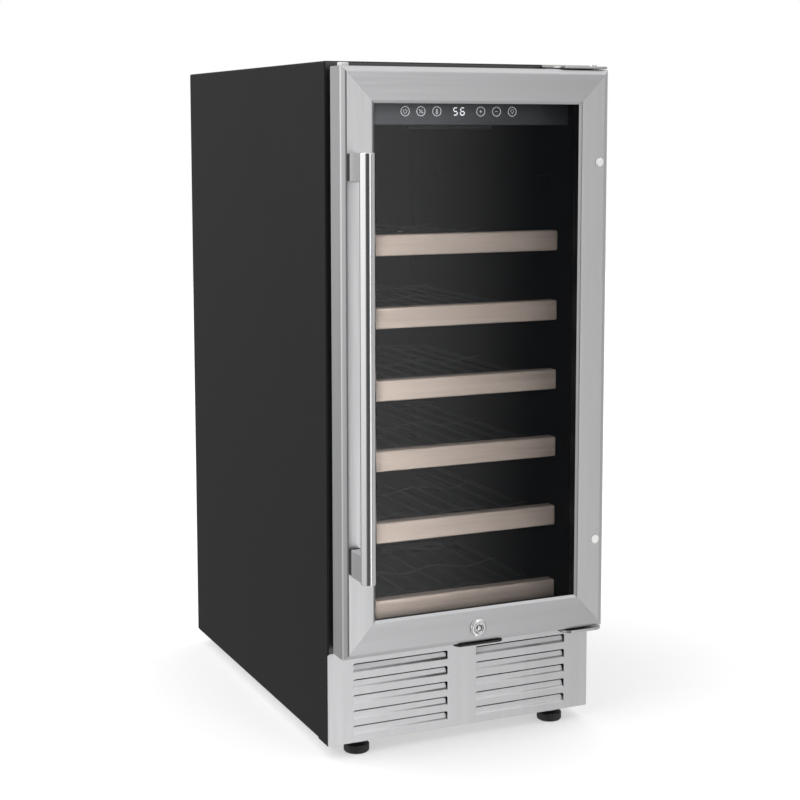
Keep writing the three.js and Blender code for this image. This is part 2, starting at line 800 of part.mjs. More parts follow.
const foot = () => turned([
  [0, 0],
  [FOOT.pad - 1.5, 0],
  [FOOT.pad, 1.5],
  [FOOT.pad, 10],
  [9, 13],
  [9, FOOT_DROP - GAP],
  [FOOT.stud, FOOT_DROP - GAP],
  [FOOT.stud, FOOT_DROP + FOOT.studTop],
  [0, FOOT_DROP + FOOT.studTop],
], 20);

// --------------------------------------------------------------------------------------- assembly

const cabinet = group(
  part('cabinet_shell', blackPaint, cabinetShell()),
  part('rear_panel', blackPaint, rearPanel()),
  part('machine_deck', zinc, machineDeck()),
  part('base_pan', zinc, basePan()),
  part('inner_liner', linerPlastic, innerLiner()),
  part('foam_insulation', foam, foamInsulation()),
  part('kick_plate', stainless, kickPlate()),
  part('lock_strike', blackPlastic, lockStrike()),
  part('machine_cover', blackPaint, machineCover()),
  part('power_inlet', blackPlastic, powerInlet(), [INLET.x, DEPTH - SHEET, INLET.z]),
  part('hinge_upper', zinc, hingeUpper()),
  part('hinge_lower', zinc, hingeLower()),
  part('hinge_pin_upper', zinc, hingePinUpper(), [PIVOT.x, PIVOT.y, 0]),
  part('hinge_pin_lower', zinc, hingePinLower(), [PIVOT.x, PIVOT.y, 0]),
  part('control_panel', blackPlastic, controlPanel()),
  part('control_board', circuitGreen, box([-120, 120], [18, 19.6], [788, 822])),
  part('interior_light', whitePlastic, box([-60, 60], [38, 50], [774, 779.2])),
  part('air_duct_cover', linerPlastic, airDuctCover()),
  part('temperature_sensor', whitePlastic, rod(4, 0, 30, 16), [120, 464, 590]),
  part('evaporator', zinc, evaporator()),
  part('evaporator_fan_frame', blackPlastic, fanFrame(92, 25, 40, 17), [0, 472, 692]),
  part('compressor', castBlack, compressor(), [COMPRESSOR.x, COMPRESSOR.y, COMPRESSOR.z]),
  part('drip_tray', blackPlastic, dripTray(), [COMPRESSOR.x, COMPRESSOR.y, 152]),
  part('condenser_coil', copper, condenserCoil()),
  part('condenser_fan_frame', blackPlastic, fanFrame(100, 30, 44, 18), [90, 110, 58]),
  part('filter_drier', copper, filterDrier(), [60, 420, 40]),
  part('refrigerant_pipe', copper, refrigerantPipe()),
);

const evaporatorFan = group(
  part('evaporator_fan_rotor', blackPlastic, fanRotor(40, 16, 18, 7), [0, 473, 692]),
);
const condenserFan = group(
  part('condenser_fan_rotor', blackPlastic, fanRotor(44, 17, 22, 5), [90, 111, 58]),
);

const postHeights = {
  upper: HANDLE.top - 1 - HANDLE.postHeight / 2,
  lower: HANDLE.bottom + 1 + HANDLE.postHeight / 2,
};

const door = group(
  part('door_frame', stainless, doorFrame()),
  part('door_inner_frame', blackPlastic, doorInnerFrame()),
  part('outer_glass', tintedGlass, pane(-42.7, -38.7)),
  part('inner_glass', tintedGlass, pane(-26.9, -22.9)),
  part('glass_spacer', zinc, glassSpacer()),
  part('door_gasket', rubber, doorGasket()),
  part('handle_bar', polished, handleBar(), [HANDLE.x, HANDLE.y, 0]),
  ...Object.entries(postHeights).map(([name, z]) => (
    part(`handle_post_${name}`, polished, handlePost(), [HANDLE.x, DOOR.front, z])
  )),
  part('hole_plug_upper', whitePlastic, holePlug(), [PLUG.x, DOOR.front, PLUG.heights[0]]),
  part('hole_plug_lower', whitePlastic, holePlug(), [PLUG.x, DOOR.front, PLUG.heights[1]]),
  part('spare_hinge_bushing', whitePlastic, spareHingeBushing(), [-PIVOT.x, PIVOT.y, DOOR.top]),
  part('lock_body', polished, lockBody(), [LOCK.x, 0, LOCK.z]),
  group(
    part('lock_plug', polished, lockPlug(), [LOCK.x, 0, LOCK.z]),
    part('lock_cam', zinc, lockCam(), [LOCK.x, 0, LOCK.z]),
  ),
);

const shelves = SHELF_TOPS.map((top, i) => {
  const back = i === SHELF_TOPS.length - 1 ? SHELF.shortBack : SHELF.back;
  const shelf = group(
    part(`shelf_front_${i + 1}`, beech, shelfFront()),
    part(`shelf_rack_${i + 1}`, wire, shelfRack(back)),
  );
  shelf.position.set(0, SHELF.y, top);
  return shelf;
});

const feet = FOOT_PLACES.map(([name, x, y]) => (
  part(`foot_${name}`, rubber, foot(), [x, y, -FOOT_DROP])
));

const wineCooler = group(cabinet, evaporatorFan, condenserFan, door, ...shelves, ...feet);
wineCooler.position.set(0, -FRONT_TO_CENTRE, FOOT_DROP);

export default wineCooler;
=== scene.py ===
"""Looks of the wine cooler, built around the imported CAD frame. Metres, +Z up, door towards -Y."""

import json
import math

import bmesh
import bpy
from mathutils import Matrix, Vector


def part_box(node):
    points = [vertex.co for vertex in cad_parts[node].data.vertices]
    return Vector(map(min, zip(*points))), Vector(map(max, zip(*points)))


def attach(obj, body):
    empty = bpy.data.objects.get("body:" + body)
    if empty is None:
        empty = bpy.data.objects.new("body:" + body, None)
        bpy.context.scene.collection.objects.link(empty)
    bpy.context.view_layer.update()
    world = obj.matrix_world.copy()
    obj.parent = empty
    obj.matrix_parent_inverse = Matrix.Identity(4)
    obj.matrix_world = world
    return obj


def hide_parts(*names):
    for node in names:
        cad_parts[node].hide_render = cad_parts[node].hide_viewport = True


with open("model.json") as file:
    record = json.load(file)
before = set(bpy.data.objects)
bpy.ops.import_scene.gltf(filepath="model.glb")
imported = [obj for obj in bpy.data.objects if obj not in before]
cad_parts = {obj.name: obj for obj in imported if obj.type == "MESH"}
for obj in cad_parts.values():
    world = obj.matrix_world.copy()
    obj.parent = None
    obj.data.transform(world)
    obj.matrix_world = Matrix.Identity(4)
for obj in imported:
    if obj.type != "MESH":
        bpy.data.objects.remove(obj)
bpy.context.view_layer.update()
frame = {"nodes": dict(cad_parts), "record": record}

MM = 0.001
NODES = frame["nodes"]
BODY_OF = {node: body for body, nodes in frame["record"]["behaviour"]["bodies"].items() for node in nodes}
SLOT_OF = {part["node"]: part["material_slot"] for part in frame["record"]["subparts"]}

# Places that many pieces share, taken from the frame.
SHELL_LOW, SHELL_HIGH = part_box("cabinet_shell")
PANE_LOW, PANE_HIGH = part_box("outer_glass")
KICK_LOW, KICK_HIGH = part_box("kick_plate")
FRONT = SHELL_LOW.y
PANE_HIDDEN = 13 * MM  # width of glass under the door's frame


# ------------------------------------------------------------------------------------ camera, light


# Strengths of the studio's parts, as every surface but the camera sees them.
ROOM_LIGHT = 0.09
CEILING_LIGHT = 0.62
FLOOR_LIGHT = 0.26
WALL_LIGHTS = (
    # bearing, half width of the bright part, half width where it has faded out, strength, low share
    (17, 5, 12, 1.55, 1),
    (80, 42, 50, 0.47, 1),
    (156, 12, 32, 0.50, 1),
    (-102, 38, 62, 1.30, 0.30),
)


def add_camera():
    """A long lens in front of the left side, a little above the middle, tilted slightly down."""
    place = Vector((-0.930, -2.110, 0.791))
    turn_right = math.radians(24.56)
    tilt_down = math.radians(6.51)
    data = bpy.data.cameras.new("camera")
    data.sensor_width = 36
    data.lens = 74.9
    data.shift_x = -0.018
    data.shift_y = -0.10
    camera = bpy.data.objects.new("camera", data)
    camera.location = place
    camera.rotation_euler = (math.pi / 2 - tilt_down, 0, -turn_right)
    bpy.context.scene.collection.objects.link(camera)
    bpy.context.scene.camera = camera


def add_softbox(name, place, target, size, power, spread=180, receivers=None):
    """A soft lamp that lights matt surfaces. Shiny ones mirror the studio's bright walls instead.
    receivers is a collection of the only objects that it lights."""
    data = bpy.data.lights.new(name, "AREA")
    data.shape = "RECTANGLE"
    data.size, data.size_y = size
    data.energy = power
    data.spread = math.radians(spread)
    lamp = bpy.data.objects.new(name, data)
    lamp.location = place
    lamp.rotation_euler = (Vector(target) - Vector(place)).to_track_quat("-Z", "Y").to_euler()
    lamp.visible_glossy = False
    lamp.visible_camera = False
    if receivers:
        lamp.light_linking.receiver_collection = receivers
    bpy.context.scene.collection.objects.link(lamp)


def link(tree, source, target):
    """A wire from an output to an input."""
    tree.links.new(source, target)


def node(tree, kind, **inputs):
    """A new node with constants set on its inputs by name."""
    made = tree.nodes.new(kind)
    for name, value in inputs.items():
        made.inputs[name].default_value = value
    return made


def calculate(tree, operation, first, second):
    """A math node on two sockets, or on a socket and a number."""
    made = node(tree, "ShaderNodeMath")
    made.operation = operation
    link(tree, first, made.inputs[0])
    if isinstance(second, float):
        made.inputs[1].default_value = second
    else:
        link(tree, second, made.inputs[1])
    return made.outputs["Value"]


def on_vector(tree, operation, vector, second=None):
    """The outputs of a vector math node on a socket and, where one is given, on a constant vector."""
    made = node(tree, "ShaderNodeVectorMath")
    made.operation = operation
    link(tree, vector, made.inputs[0])
    if second:
        made.inputs[1].default_value = second
    return made.outputs


def wall_light(tree, heading, height, bearing, inner, outer, strength, low_share):
    """A bright upright stretch of wall, which is dimmer near the floor when low_share is below 1.
    bearing is in degrees to the right of straight ahead of the door."""
    turn = math.radians(bearing)
    wall = (math.sin(turn), -math.cos(turn), 0)
    cosine = on_vector(tree, "DOT_PRODUCT", heading, wall)["Value"]
    fade = fade_in(tree, cosine, outer, inner, strength)
    if low_share == 1:
        return fade
    return calculate(tree, "MULTIPLY", fade, remap(tree, height, low_share, 1, -0.36, 0.02))


def fade_in(tree, cosine, outer, inner, strength):
    """Rises smoothly from 0 at the outer angle, in degrees, to strength at the inner one."""
    start = math.cos(math.radians(outer))
    end = math.cos(math.radians(inner))
    return remap(tree, cosine, 0, strength, start, end, "SMOOTHSTEP")


def add_world():
    """A studio with bright stretches of wall, a bright ceiling, and white where the camera looks past
    the object."""
    world = bpy.data.worlds.new("studio")
    world.use_nodes = True
    bpy.context.scene.world = world
    tree = world.node_tree
    tree.nodes.clear()
    direction = node(tree, "ShaderNodeTexCoord").outputs["Generated"]
    level = on_vector(tree, "MULTIPLY", direction, (1, 1, 0))["Vector"]
    heading = on_vector(tree, "NORMALIZE", level)["Vector"]
    parts = node(tree, "ShaderNodeSeparateXYZ")
    link(tree, direction, parts.inputs["Vector"])
    height = parts.outputs["Z"]
    lights = [
        fade_in(tree, height, 78, 35, CEILING_LIGHT),
        fade_in(tree, height, 100, 140, FLOOR_LIGHT),
    ]
    for settings in WALL_LIGHTS:
        lights.append(wall_light(tree, heading, height, *settings))
    total = lights[0]
    for light in lights[1:] + [ROOM_LIGHT]:
        total = calculate(tree, "ADD", total, light)
    white = (1, 1, 1, 1)
    room = node(tree, "ShaderNodeBackground", Color=white)
    link(tree, total, room.inputs["Strength"])
    seen = node(tree, "ShaderNodeBackground", Color=white, Strength=1.0)
    path = node(tree, "ShaderNodeLightPath")
    choose = node(tree, "ShaderNodeMixShader")
    link(tree, path.outputs["Is Camera Ray"], choose.inputs["Fac"])
    link(tree, room.outputs["Background"], choose.inputs[1])
    link(tree, seen.outputs["Background"], choose.inputs[2])
    output = node(tree, "ShaderNodeOutputWorld")
    link(tree, choose.outputs["Shader"], output.inputs["Surface"])


# ---------------------------------------------------------------------------------------- materials


def shader(name, color, roughness, metallic=0.0, **constants):
    """A Principled material; further constants are socket names with _ for spaces."""
    material = bpy.data.materials.new(name)
    material.use_nodes = True
    tree = material.node_tree
    bsdf = tree.nodes["Principled BSDF"]
    bsdf.inputs["Base Color"].default_value = (*color, 1)
    bsdf.inputs["Roughness"].default_value = roughness
    bsdf.inputs["Metallic"].default_value = metallic
    for socket, value in constants.items():
        bsdf.inputs[socket.replace("_", " ")].default_value = value
    return material, tree, bsdf


def noise(tree, cycles, detail=2.0, distortion=0.0):
    """Noise in the object's own space, with its cycles per metre along x, y and z."""
    coords = node(tree, "ShaderNodeTexCoord")
    mapping = node(tree, "ShaderNodeMapping", Scale=cycles)
    texture = node(tree, "ShaderNodeTexNoise", Scale=1.0, Detail=detail, Distortion=distortion)
    link(tree, coords.outputs["Object"], mapping.inputs["Vector"])
    link(tree, mapping.outputs["Vector"], texture.inputs["Vector"])
    return texture.outputs["Fac"]


def remap(tree, value, low, high, start=0.3, end=0.7, curve="LINEAR"):
    """The value stretched from start to end onto low to high."""
    span = node(tree, "ShaderNodeMapRange")
    span.interpolation_type = curve
    span.inputs["From Min"].default_value = start
    span.inputs["From Max"].default_value = end
    span.inputs["To Min"].default_value = low
    span.inputs["To Max"].default_value = high
    link(tree, value, span.inputs["Value"])
    return span.outputs["Result"]


def blend_colours(tree, value, first, second):
    """The first colour where the value is 0, the second where it is 1; each is a tuple or a socket."""
    mix = node(tree, "ShaderNodeMix")
    mix.data_type = "RGBA"
    link(tree, value, mix.inputs["Factor"])
    for socket, color in zip((mix.inputs[6], mix.inputs[7]), (first, second)):
        if isinstance(color, tuple):
            socket.default_value = (*color, 1)
        else:
            link(tree, color, socket)
    return mix.outputs[2]


def emboss(tree, bsdf, height, depth):
    """Small relief of the given depth in metres."""
    bump = node(tree, "ShaderNodeBump", Strength=1.0, Distance=depth)
    link(tree, height, bump.inputs["Height"])
    link(tree, bump.outputs["Normal"], bsdf.inputs["Normal"])


def scaled(color, factor):
    return tuple(channel * factor for channel in color)


def colour(tree, bsdf, value, first, second):
    """Gives the surface the blend of two colours by the value."""
    link(tree, blend_colours(tree, value, first, second), bsdf.inputs["Base Color"])


def gloss(tree, bsdf, value, low, high):
    """Lets the surface's roughness go from low to high with the value."""
    link(tree, remap(tree, value, low, high), bsdf.inputs["Roughness"])


def coated_steel(name, color, roughness, grain=700, depth=0.03 * MM, **constants):
    """Painted sheet: faint orange peel, with slow changes in gloss."""
    material, tree, bsdf = shader(name, color, roughness, **constants)
    slow = noise(tree, (6, 6, 6), 3)
    gloss(tree, bsdf, slow, roughness - 0.04, roughness + 0.05)
    colour(tree, bsdf, remap(tree, slow, 0, 1), scaled(color, 0.9), scaled(color, 1.12))
    emboss(tree, bsdf, noise(tree, (grain, grain, grain), 2), depth)
    return material


def brushed_metal(name, color, roughness, along, fine=1400, **constants):
    """Brushed metal whose scratches run along one axis."""
    material, tree, bsdf = shader(name, color, roughness, 1.0, **constants)
    streaks = [fine, fine, fine]
    streaks["xyz".index(along)] = 9
    bands = [60, 60, 60]
    bands["xyz".index(along)] = 1.5
    scratches = noise(tree, streaks, 3)
    broad = noise(tree, bands, 2)
    gloss(tree, bsdf, scratches, roughness - 0.05, roughness + 0.07)
    tint = blend_colours(tree, remap(tree, broad, 0, 1), scaled(color, 0.965), scaled(color, 1.025))
    colour(tree, bsdf, remap(tree, scratches, 0.0, 0.16), tint, scaled(color, 0.8))
    emboss(tree, bsdf, scratches, 0.006 * MM)
    return material


def moulded_plastic(name, color, roughness, grain=1500, depth=0.02 * MM, **constants):
    """Plastic with the fine texture of its mould."""
    material, tree, bsdf = shader(name, color, roughness, **constants)
    slow = noise(tree, (14, 14, 14), 2)
    gloss(tree, bsdf, slow, roughness - 0.05, roughness + 0.05)
    colour(tree, bsdf, remap(tree, slow, 0, 1), scaled(color, 0.92), scaled(color, 1.08))
    emboss(tree, bsdf, noise(tree, (grain, grain, grain), 2), depth)
    return material


def glass_pane(name, color, alpha, **constants):
    """Tinted pane: what is behind it shows through by its alpha, and its face mirrors the room."""
    material, tree, bsdf = shader(name, color, 0.02, Alpha=alpha, **constants)
    gloss(tree, bsdf, noise(tree, (5, 5, 5), 3), 0.015, 0.045)
    return material


def beech(name):
    """Sealed beech with its grain along x, fine flecks and slow changes of tone."""
    pale = (0.500, 0.420, 0.365)
    brown = (0.400, 0.328, 0.282)
    material, tree, bsdf = shader(name, pale, 0.48, Coat_Weight=0.15, Coat_Roughness=0.3)
    growth = noise(tree, (4, 130, 190), 4, 0.4)
    flecks = noise(tree, (90, 900, 1100), 2)
    tone = noise(tree, (3, 20, 25), 2)
    grain = blend_colours(tree, remap(tree, growth, 0, 1, 0.35, 0.68), pale, brown)
    dashes = remap(tree, flecks, 0, 0.55, 0.60, 0.74)
    dashed = blend_colours(tree, dashes, grain, scaled(brown, 0.62))
    colour(tree, bsdf, remap(tree, tone, 0, 0.35), dashed, (0.56, 0.46, 0.39))
    gloss(tree, bsdf, growth, 0.42, 0.56)
    emboss(tree, bsdf, growth, 0.05 * MM)
    return material


def foam_material(name):
    color = (0.72, 0.58, 0.30)
    material, tree, bsdf = shader(name, color, 0.9)
    cells = noise(tree, (450, 450, 450), 4)
    colour(tree, bsdf, cells, scaled(color, 0.7), scaled(color, 1.15))
    emboss(tree, bsdf, cells, 0.4 * MM)
    return material


def lit_symbol(name, color, strength):
    """Printed white that the panel's lamps light from behind."""
    glow = {"Emission_Color": (*color, 1), "Emission_Strength": strength}
    material, tree, bsdf = shader(name, color, 0.5, **glow)
    colour(tree, bsdf, noise(tree, (300, 300, 300), 1), scaled(color, 0.85), color)
    return material


def studio_floor(name):
    """Matt white floor that glows a little, so that it stays pale all over."""
    glow = {"Emission_Color": (1, 1, 1, 1), "Emission_Strength": 0.44}
    return shader(name, (0.62, 0.62, 0.62), 0.9, **glow)[0]


def circuit_board(name):
    green = (0.02, 0.13, 0.06)
    material, tree, bsdf = shader(name, green, 0.35)
    tracks = remap(tree, noise(tree, (220, 220, 220), 1), 0, 1, 0.48, 0.52)
    colour(tree, bsdf, tracks, green, (0.05, 0.22, 0.10))
    return material


def make_materials():
    """Every material by its slot's name: a name here is a slot of the record, or a visual detail's."""
    black = (0.0050, 0.0050, 0.0053)
    front_sheen_black = (0.012, 0.012, 0.013)
    liner_black = (0.0045, 0.0045, 0.005)
    return {
        "black_paint": coated_steel("black_paint", black, 0.42, Specular_IOR_Level=0.18),
        # Painted sheen: the same black paint with a lighter colour and more specular, only for the
        # cabinet's front faces; its reflections are real, its lighter colour is painted light.
        "glossy_black_paint": coated_steel("glossy_black_paint", front_sheen_black, 0.34, Specular_IOR_Level=1.0),
        "stainless": brushed_metal("stainless_upright", (0.62, 0.62, 0.63), 0.34, "z"),
        # Painted shade: the rails' copy of the stainless has a darker colour than the stiles'; only its
        # grain across is real.
        "stainless_across": brushed_metal("stainless_across", (0.53, 0.53, 0.54), 0.34, "x"),
        "polished_steel": brushed_metal("polished_steel", (0.76, 0.76, 0.77), 0.16, "z", 2200),
        "chrome": brushed_metal("lock_chrome", (0.80, 0.80, 0.81), 0.10, "y", 900),
        "zinc_steel": brushed_metal("zinc_steel", (0.55, 0.55, 0.54), 0.34, "x", 500),
        "aluminium": brushed_metal("aluminium", (0.66, 0.67, 0.68), 0.34, "x", 900),
        "copper": brushed_metal("copper", (0.62, 0.30, 0.17), 0.30, "z", 700),
        "black_plastic": moulded_plastic("black_plastic", (0.007, 0.007, 0.0075), 0.50),
        "panel_plastic": moulded_plastic("panel_plastic", (0.070, 0.075, 0.083), 0.40, 400, 0.004 * MM),
        "white_plastic": moulded_plastic("white_plastic", (0.80, 0.80, 0.78), 0.38),
        "smoked_plastic": moulded_plastic("smoked_plastic", (0.010, 0.010, 0.011), 0.30),
        "liner_plastic": moulded_plastic("liner_plastic", liner_black, 0.50, 1100, Specular_IOR_Level=0.35),
        "rubber": moulded_plastic("rubber", (0.006, 0.006, 0.006), 0.65, 1800, Specular_IOR_Level=0.35),
        "tinted_glass": glass_pane("tinted_glass", (0.006, 0.007, 0.009), 0.18, IOR=1.74),
        "clear_glass": glass_pane("clear_glass", (0.02, 0.022, 0.022), 0.06, IOR=1.5),
        "beech": beech("beech"),
        "black_wire": coated_steel("black_wire", (0.018, 0.018, 0.019), 0.38, 900),
        "compressor_black": coated_steel("compressor_black", (0.012, 0.012, 0.013), 0.32, 300, 0.06 * MM),
        "circuit_green": circuit_board("circuit_green"),
        "foam": foam_material("foam"),
        "symbol": lit_symbol("symbol", (0.85, 0.88, 0.92), 0.85),
        "digits": lit_symbol("digits", (0.92, 0.95, 1.0), 1.4),
        "floor": studio_floor("floor"),
    }


# ------------------------------------------------------------------------------------- mesh helpers


def add_mesh(name, vertices, faces, material):
    """A new object from points and faces."""
    mesh = bpy.data.meshes.new(name)
    mesh.from_pydata([tuple(v) for v in vertices], [], faces)
    mesh.materials.append(material)
    mesh.validate()
    return add_object(name, mesh)


def add_object(name, data):
    piece = bpy.data.objects.new(name, data)
    bpy.context.scene.collection.objects.link(piece)
    return piece


def solid(name, vertices, faces, material):
    """A closed piece: double points are merged, and all its faces look outward."""
    piece = add_mesh(name, vertices, faces, material)
    work = bmesh.new()
    work.from_mesh(piece.data)
    bmesh.ops.remove_doubles(work, verts=work.verts, dist=1e-6)
    bmesh.ops.recalc_face_normals(work, faces=work.faces)
    work.to_mesh(piece.data)
    work.free()
    return piece


def soften(piece, width, segments=3):
    """Rounds the piece's hard edges and shades it smooth between them."""
    if width:
        bevel = piece.modifiers.new("rounded_edges", "BEVEL")
        bevel.width = width
        bevel.segments = segments
        bevel.limit_method = "ANGLE"
        bevel.angle_limit = math.radians(30)
        apply_modifiers(piece)
    return shade(piece, 40)


def ready_mesh(piece):
    """The mesh that the piece's modifiers or its curve give."""
    bpy.context.view_layer.update()
    ready = piece.evaluated_get(bpy.context.evaluated_depsgraph_get())
    return bpy.data.meshes.new_from_object(ready)


def apply_modifiers(piece):
    """Makes what the modifiers give the piece's own mesh."""
    mesh = ready_mesh(piece)
    piece.modifiers.clear()
    piece.data = mesh


def shade(piece, angle):
    """Smooth shading that keeps wide faces flat and edges sharper than the angle crisp."""
    mesh = piece.data
    mesh.polygons.foreach_set("use_smooth", [True] * len(mesh.polygons))
    mesh.set_sharp_from_angle(angle=math.radians(angle))
    flatten = piece.modifiers.new("flat_faces", "WEIGHTED_NORMAL")
    flatten.mode = "FACE_AREA"
    flatten.weight = 100
    flatten.keep_sharp = True
    apply_modifiers(piece)
    return piece


def joined(name, pieces):
    """One object from several that share one list of materials."""
    work = bmesh.new()
    materials = []
    for piece in pieces:
        offset = {}
        for i, material in enumerate(piece.data.materials):
            if material not in materials:
                materials.append(material)
            offset[i] = materials.index(material)
        start = len(work.faces)
        work.from_mesh(piece.data)
        work.faces.ensure_lookup_table()
        for face in work.faces[start:]:
            face.material_index = offset.get(face.material_index, 0)
        bpy.data.objects.remove(piece)
    mesh = bpy.data.meshes.new(name)
    work.to_mesh(mesh)
    work.free()
    for material in materials:
        mesh.materials.append(material)
    return shade(add_object(name, mesh), 40)


def block(name, low, high, radius, material, segments=3):
    """A rounded block between two corners in metres."""
    corners = [(x, y, z) for x in (low[0], high[0]) for y in (low[1], high[1]) for z in (low[2], high[2])]
    faces = [(0, 1, 3, 2), (4, 6, 7, 5), (0, 4, 5, 1), (2, 3, 7, 6), (0, 2, 6, 4), (1, 5, 7, 3)]
    return soften(solid(name, corners, faces, material), radius, segments)


AXES = {"x": (1, 2, 0), "y": (0, 2, 1), "z": (0, 1, 2)}


def prism(name, outline, axis, start, end, radius, material, segments=3):
    """An outline in the two axes other than axis, drawn out along it."""
    first, second, third = AXES[axis]
    vertices = []
    for level in (start, end):
        for a, b in outline:
            point = [0, 0, 0]
            point[first], point[second], point[third] = a, b, level
            vertices.append(point)
    count = len(outline)
    faces = [tuple(range(count)), tuple(range(count, 2 * count))]
    faces += [(i, (i + 1) % count, count + (i + 1) % count, count + i) for i in range(count)]
    return soften(solid(name, vertices, faces, material), radius, segments)


def rounded_outline(low, high, radii, steps=6):
    """A rectangle's outline with one radius for each corner: low-low, high-low, high-high, low-high."""
    corners = [
        (low[0], low[1], 1, 1), (high[0], low[1], -1, 1),
        (high[0], high[1], -1, -1), (low[0], high[1], 1, -1),
    ]
    points = []
    for i, ((x, y, inward_x, inward_y), radius) in enumerate(zip(corners, radii)):
        if radius == 0:
            points.append((x, y))
            continue
        for step in range(steps + 1):
            angle = math.radians(180 + 90 * i + 90 * step / steps)
            points.append((
                x + radius * inward_x + radius * math.cos(angle),
                y + radius * inward_y + radius * math.sin(angle),
            ))
    return points


def upright_outline(xs, zs, radii, steps=6):
    """A rounded outline in x and z between the given millimetres."""
    low = (xs[0] * MM, SHELL_LOW.z + zs[0] * MM)
    high = (xs[1] * MM, SHELL_LOW.z + zs[1] * MM)
    return rounded_outline(low, high, [radius * MM for radius in radii], steps)


def level_outline(xs, ys, radii, steps=6):
    """A rounded outline in x and y between the given millimetres."""
    low = (xs[0] * MM, FRONT + ys[0] * MM)
    high = (xs[1] * MM, FRONT + ys[1] * MM)
    return rounded_outline(low, high, [radius * MM for radius in radii], steps)


def upright_sheet(name, outline, ys, radius, material, segments=3):
    """An outline in x and z as a sheet between two depths in millimetres."""
    start = FRONT + ys[0] * MM
    end = FRONT + ys[1] * MM
    return prism(name, outline, "y", start, end, radius * MM, material, segments)


def level_sheet(name, outline, zs, radius, material, segments=3):
    """An outline in x and y as a sheet between two heights in millimetres."""
    return prism(name, outline, "z", at(0, 0, zs[0]).z, at(0, 0, zs[1]).z, radius * MM, material, segments)


def grid_sheet(name, vertices, rows, columns, material):
    """A thin sheet from a front grid of points and a back one, closed round its rim."""
    sheet = rows * columns
    faces = []
    for i in range(rows - 1):
        for j in range(columns - 1):
            a = i * columns + j
            faces.append((a, a + 1, a + columns + 1, a + columns))
            faces.append((sheet + a, sheet + a + columns, sheet + a + columns + 1, sheet + a + 1))
    rim = list(range(columns))
    rim += [i * columns + columns - 1 for i in range(1, rows)]
    rim += [(rows - 1) * columns + j for j in range(columns - 2, -1, -1)]
    rim += [i * columns for i in range(rows - 2, 0, -1)]
    for a, b in zip(rim, rim[1:] + rim[:1]):
        faces.append((a, sheet + a, sheet + b, b))
    return shade(solid(name, vertices, faces, material), 50)


def lathed(name, profile, centre, axis, material, steps=64, angle=35):
    """A turned piece whose profile is in millimetres."""
    scaled_profile = [(radius * MM, height * MM) for radius, height in profile]
    return turned(name, scaled_profile, centre, axis, material, steps, angle)


def turned(name, profile, centre, axis, material, steps=64, angle=35):
    """A turned piece: profile is a list of (radius, height) along the axis, measured from centre."""
    first, second, third = AXES[axis]
    rings = []
    vertices = []
    for radius, height in profile:
        ring = []
        for i in range(steps if radius > 0 else 1):
            turn = 2 * math.pi * i / steps
            point = [0, 0, 0]
            point[first] = centre[first] + radius * math.cos(turn)
            point[second] = centre[second] + radius * math.sin(turn)
            point[third] = centre[third] + height
            ring.append(len(vertices))
            vertices.append(point)
        rings.append(ring)
    faces = []
    for below, above in zip(rings, rings[1:]):
        for i in range(steps):
            j = (i + 1) % steps
            face = [below[i % len(below)], below[j % len(below)]]
            face += [above[j % len(above)], above[i % len(above)]]
            faces.append(tuple(dict.fromkeys(face)))
    faces = [face for face in faces if len(face) > 2]
    return shade(solid(name, vertices, faces, material), angle)


def rounded_profile(profile, radius, steps=4):
    """A turned profile with its inner corners replaced by small arcs."""
    points = [profile[0]]
    for before, corner, after in zip(profile, profile[1:], profile[2:]):
        points += round_corner(before, corner, after, radius, steps)
    points.append(profile[-1])
    return points


def round_corner(before, corner, after, radius, steps):
    """The points of a small curve that replaces a corner between its two neighbours."""
    before, corner, after = Vector(before), Vector(corner), Vector(after)
    into = before - corner
    out = after - corner
    reach = min(radius, into.length * 0.49, out.length * 0.49)
    start = corner + into.normalized() * reach
    end = corner + out.normalized() * reach
    arc = []
    for step in range(steps + 1):
        t = step / steps
        arc.append(tuple(start * (1 - t) ** 2 + corner * (2 * t * (1 - t)) + end * t**2))
    return arc


def wires(name, routes, diameter, material, resolution=4):
    """Round wires along smooth routes, as one mesh."""
    curve = bpy.data.curves.new(name, "CURVE")
    curve.dimensions = "3D"
    curve.bevel_depth = diameter / 2
    curve.bevel_resolution = resolution
    curve.use_fill_caps = True
    curve.resolution_u = 3
    for route in routes:
        spline = curve.splines.new("POLY")
        spline.points.add(len(route) - 1)
        for point, place in zip(spline.points, route):
            point.co = (*place, 1)
    curve.materials.append(material)
    source = add_object(name, curve)
    mesh = ready_mesh(source)
    bpy.data.objects.remove(source)
    return shade(add_object(name, mesh), 50)


def mounted(piece, *nodes, body=None, slot=None):
    """Puts a piece on its body and hides the CAD nodes that it stands for."""
    first = nodes[0] if nodes else None
    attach(piece, body or BODY_OF[first])
    if nodes:
        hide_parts(*nodes)
    return piece


def fitted(piece, body, slot):
    """Puts a piece that stands for no CAD node on a body."""
    return mounted(piece, body=body, slot=slot)


def refined(name, width, material):
    """The CAD node's own shape with its edges rounded, as the piece that stands for it."""
    work = bmesh.new()
    work.from_mesh(NODES[name].data)
    bmesh.ops.remove_doubles(work, verts=work.verts, dist=1e-6)
    bmesh.ops.dissolve_limit(work, angle_limit=math.radians(0.5), verts=work.verts, edges=work.edges)
    mesh = bpy.data.meshes.new(name + "_detailed")
    work.to_mesh(mesh)
    work.free()
    mesh.materials.clear()
    mesh.materials.append(material)
    piece = add_object(name + "_detailed", mesh)
    return mounted(soften(piece, width, 2), name)


def at(x, y, z):
    """A point in metres from millimetres: y back from the cabinet's front, z up from its underside."""
    return Vector((x * MM, FRONT + y * MM, SHELL_LOW.z + z * MM))


def cuboid(name, xs, ys, zs, radius, material, segments=3):
    """A rounded block between the given millimetres."""
    low = at(xs[0], ys[0], zs[0])
    high = at(xs[1], ys[1], zs[1])
    return block(name, low, high, radius * MM, material, segments)


